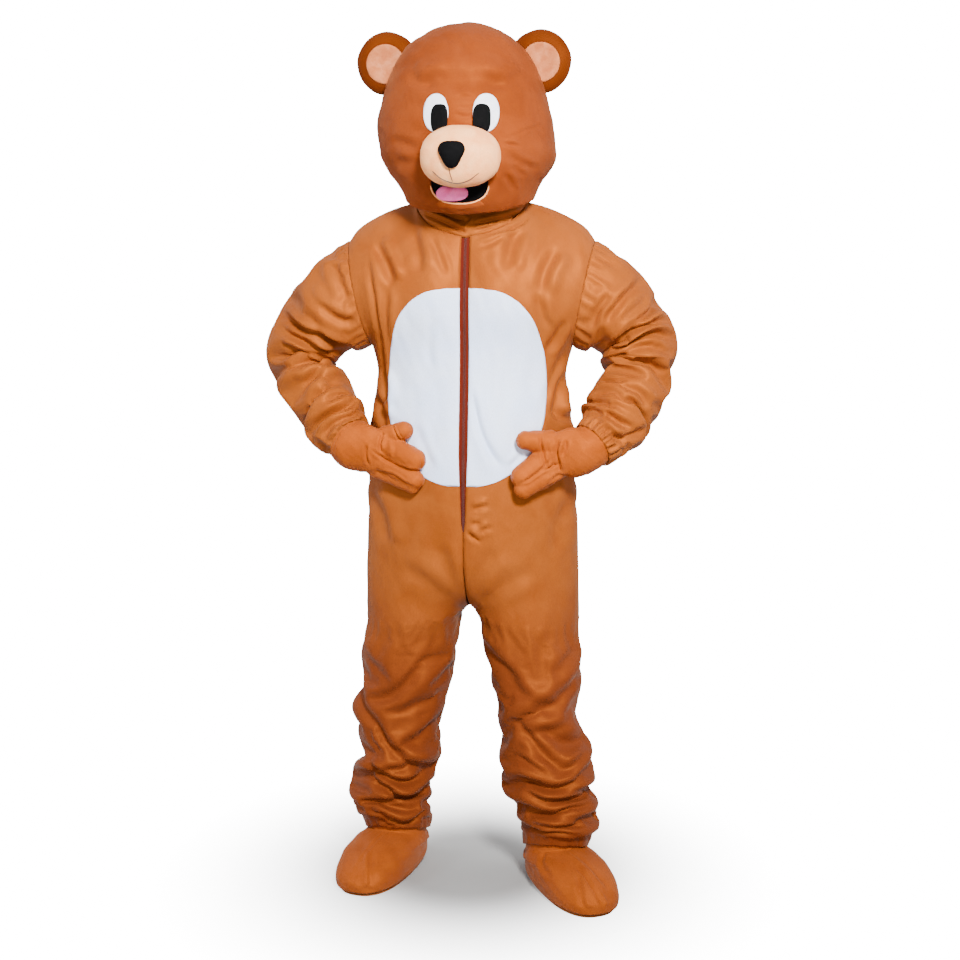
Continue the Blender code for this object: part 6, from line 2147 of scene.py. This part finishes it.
@dataclass
class BootCover:
    """A soft cover over a shoe, open at the ankle, with a flat sole under it."""

    word: str
    foot: dict[str, float]
    columns: int = 144
    rows: int = 100

    def ring(self, share: float, drawn_in: float = 0.0) -> np.ndarray:
        """One ring, from the toe round by the wearer's left, with its first point repeated.

        Args:
            share: how far down the cover, from the ankle at 0 to the floor at 1.
            drawn_in: how much smaller all round.

        Returns:
            Its points.
        """
        row = {name: float(BOOT.at(name, share)) for name in BOOT.names[1:]}
        turned = math.radians(self.foot["turned"]) * self.foot["side"]
        forward = np.array([math.sin(turned), -math.cos(turned), 0.0])
        beside = np.array([math.cos(turned), math.sin(turned), 0.0])
        ankle = np.array([self.foot["side"] * self.foot["out"], -self.foot["ahead"], 0.0])
        middle, reach = (row["toe"] - row["heel"]) / 2, (row["toe"] + row["heel"]) / 2
        swing = np.linspace(0, TURN, self.columns + 1)
        c, s = np.cos(swing), np.sin(swing)
        ahead = middle + (reach - drawn_in) * np.sign(c) * np.abs(c) ** row["blunt"]
        width = (row["half_width"] - drawn_in) * (1 - 0.3 * middle / reach * (0.5 - 0.5 * c))
        out = width * np.sign(s) * np.abs(s) ** row["blunt"]
        height = row["height"] + row["tilt"] * ahead
        points = ankle + forward * ahead[:, None] + beside * out[:, None]
        points[:, 2] = height
        return points

    def build(self, shop: Workshop) -> None:
        """Makes the cover and its sole."""
        shares = np.linspace(0, 1, self.rows)
        points = np.array([self.ring(share) for share in shares])
        outward = turned_out(grid_normals(points, True), points, points.mean(axis=(0, 1)))
        swing = np.linspace(0, TURN, self.columns + 1)[None, :]
        down = shares[:, None]
        top = ease((down - 0.24) / 0.08) * ease((0.97 - down) / 0.1)
        radius = run_lengths(points, 1)
        half = np.minimum(radius, radius[:, -1:] - radius)
        ridge = 0.0024 * np.exp(-((half / 0.014) ** 2)) - 0.0022 * np.exp(-((half / 0.003) ** 2))
        lifted = ridge * top
        lifted += 0.0016 * top * wander(points, (0.07, 0.08, 0.05), 3.3 + self.foot["side"])
        gather = np.sin(40 * swing + 1.8 * np.sin(6 * swing)) * ease((0.42 - down) / 0.12) * ease((down - 0.2) / 0.05)
        lifted += 0.0002 * gather
        creases = crease_table(
            True,
            ((-3, 7.5), -207, -200, -199, -256, -189, -310),
            ((3.4, 5), -196, -302, -177, -292, -160, -276),
            ((-3.2, 8.5), 236, -185, 267, -234, 322, -300),
            ((4.6, 6), 255, -240, 299, -306, 350, -336),
            ((3.4, 8), 258, -252, 270, -318, 296, -365),
            ((3.8, 7.5), 184, -150, 178, -215, 206, -265),
        )
        plan = np.stack([points[..., 0], -points[..., 2], points[..., 1]], axis=-1)
        facing = np.stack([outward[..., 0], -outward[..., 2], outward[..., 1]], axis=-1)
        lifted += crease_heights(creases, plan, facing) * top
        lifted += seam_valley((points[..., 2] - 0.0042), 0.0016, 0.004) * ease((down - 0.8) / 0.1)
        shape = points + outward * lifted[..., None]
        shape[..., 2] = np.maximum(shape[..., 2], 0.0004)
        node, cut = f"boot_{self.word}", Cut((0.62, 0.2), 0.11, Hold.STRETCHED)
        cover = grid_mesh(shape, outward, True)
        shop.sheet(f"{node}_fleece", cover, BOOT_FLEECE, node, BOOT_PLUSH)
        built = bmesh.new()
        bmesh.ops.create_circle(built, cap_ends=True, segments=self.columns, radius=1.0)
        built.verts.ensure_lookup_table()
        rim = self.ring(1.0, 0.0012)
        for vert in built.verts:
            angle = math.atan2(vert.co.y, vert.co.x) % TURN
            vert.co = rim[round(angle / TURN * self.columns) % self.columns]
            vert.co.z = 0.0
        walls = bmesh.ops.extrude_face_region(built, geom=built.faces[:])["geom"]
        for vert in (g for g in walls if isinstance(g, BMVert)):
            vert.co.z = SOLE
        bmesh.ops.recalc_face_normals(built, faces=built.faces)
        edges = [e for e in built.edges if abs(e.verts[0].co.z - e.verts[1].co.z) < 1e-6]
        bmesh.ops.bevel(built, geom=edges, offset=0.0008, segments=2, profile=0.5, affect="EDGES", material=-1)
        cut = Cut((0.32, 0.17), 0.045, Hold.STRETCHED, f"{node}_fleece")
        shop.sheet(f"sole_{self.word}_cloth", built, SOLE_CLOTH, f"sole_{self.word}", 0.0)


# ---------------------------------------------------------------- the studio
@dataclass(frozen=True)
class Studio:
    """A pale floor with a painted glow away from the feet, soft light, and the camera."""

    camera_place: tuple[float, float, float] = (0.4194, -3.2733, 1.4)
    turned: float = 7.0
    pitch: float = 9.1
    lens: float = 56.25
    room_light: float = 0.5
    backdrop_light: float = 18.0

    def build(self) -> None:
        """Makes the floor, the lights and the camera."""
        self.build_floor()
        self.build_lights()
        self.build_camera()

    def build_floor(self) -> None:
        """A wide pale floor, level with the soles, with a painted glow for the camera that whitens it away from the
        feet.
        """
        built = bmesh.new()
        bmesh.ops.create_grid(built, x_segments=1, y_segments=1, size=60.0)
        bmesh.ops.translate(built, verts=built.verts, vec=(0, 0, -SHOULDER_HEIGHT - 0.0003))
        mesh = mesh_from("floor", built)
        made, tree, shader = new_material("painted_studio_floor")
        plug(tree, shader, {"Base Color": linear("#a0a0a0"), "Roughness": 0.9, "Specular IOR Level": 0.1})
        # Painted light and shadow: seen by the camera the floor glows, from nothing round the feet up to the
        # backdrop's brightness further out, so it goes white away from the figure and stays grey in a pool round the
        # feet.
        place = add_node(tree, "TexCoord").outputs["Object"]
        level = add_node(
            tree, "VectorMath", {"0": place, "1": (1.0, 1.0, 0.0), "2": (0.0, 0.08, 0.0)}, operation="MULTIPLY_ADD"
        )
        away = add_node(tree, "VectorMath", {"0": level.outputs["Vector"]}, operation="LENGTH").outputs["Value"]
        rise = add_node(
            tree,
            "MapRange",
            {"Value": away, "From Min": 0.14, "From Max": 0.86, "To Min": 0.0, "To Max": self.backdrop_light},
            interpolation_type="SMOOTHSTEP",
        )
        seen = add_node(tree, "LightPath").outputs["Is Camera Ray"]
        painted_floor_glow = add_node(tree, "Math", {"0": rise.outputs["Result"], "1": seen}, operation="MULTIPLY")
        plug(tree, shader, {"Emission Color": linear("#ffffff"), "Emission Strength": painted_floor_glow.outputs["Value"]})
        mesh.materials.append(made)
        linked("floor", mesh)

    def build_lights(self) -> None:
        """A key light, a fill, a low front light, two beside and one above behind, and a white room."""
        for name, place, aim, size, power, colour in (
            ("key", (1.1, -3.1, 1.6), (0, 0, -0.15), 0.7, 57.0, (1.0, 0.99, 0.97)),
            ("fill", (-2.8, -2.4, 0.9), (0, 0, 0.0), 1.0, 44.0, (0.98, 0.99, 1.0)),
            ("front", (0.5, -3.2, -1.0), (0, 0, 0.2), 1.2, 44.0, (1.0, 1.0, 1.0)),
            ("beside_left", (2.6, 0.7, 0.2), (0, 0, -0.2), 1.6, 44.0, (1.0, 1.0, 1.0)),
            ("beside_right", (-2.6, 0.7, 0.2), (0, 0, -0.2), 1.6, 52.0, (1.0, 1.0, 1.0)),
            ("top", (-0.2, 1.2, 2.2), (0, 0, -0.2), 1.6, 36.0, (1.0, 1.0, 1.0)),
        ):
            data = bpy.data.lights.new(name, "AREA")
            data.shape, data.size, data.energy, data.color = "DISK", size, power, colour
            data.spread = math.radians(62 if name == "key" else 180)
            made = linked(name, data)
            made.location = place
            made.visible_glossy, made.visible_camera = place[1] < 0, False
            made.rotation_mode = "QUATERNION"
            made.rotation_quaternion = (Vector(aim) - Vector(place)).to_track_quat("-Z", "Y")
        world = bpy.data.worlds.new("white_room")
        world.use_nodes = True
        tree = world.node_tree
        seen = add_node(tree, "LightPath").outputs["Is Camera Ray"]
        strength = add_node(
            tree, "MapRange", {"Value": seen, "To Min": self.room_light, "To Max": self.backdrop_light}
        )
        plug(tree, tree.nodes["Background"], {"Color": linear("#ffffff"), "Strength": strength.outputs["Result"]})
        bpy.context.scene.world = world

    def build_camera(self) -> None:
        """The camera, at shoulder height, a little to the wearer's left and tilted down."""
        data = bpy.data.cameras.new("camera")
        data.lens, data.sensor_width = self.lens, 36.0
        camera = linked("camera", data)
        x, y, z = self.camera_place
        camera.location = (x, y, z - SHOULDER_HEIGHT)
        camera.rotation_euler = (math.radians(90 - self.pitch), 0.0, math.radians(self.turned))
        bpy.context.scene.camera = camera


def main() -> None:
    """Builds the costume's pieces and the studio."""
    logging.basicConfig(level=logging.INFO, format="%(name)s %(message)s")
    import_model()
    shop = Workshop()
    Studio().build()
    Head().build(shop)
    Jumpsuit().build(shop)
    Mitten("left", 1, LEFT_PALM, LEFT_MITT, LEFT_MITT_CREASES).build(shop)
    Mitten("right", -1, RIGHT_PALM, RIGHT_MITT, RIGHT_MITT_CREASES).build(shop)
    BootCover("left", LEFT_FOOT).build(shop)
    BootCover("right", RIGHT_FOOT).build(shop)


if __name__ == "__main__":
    main()
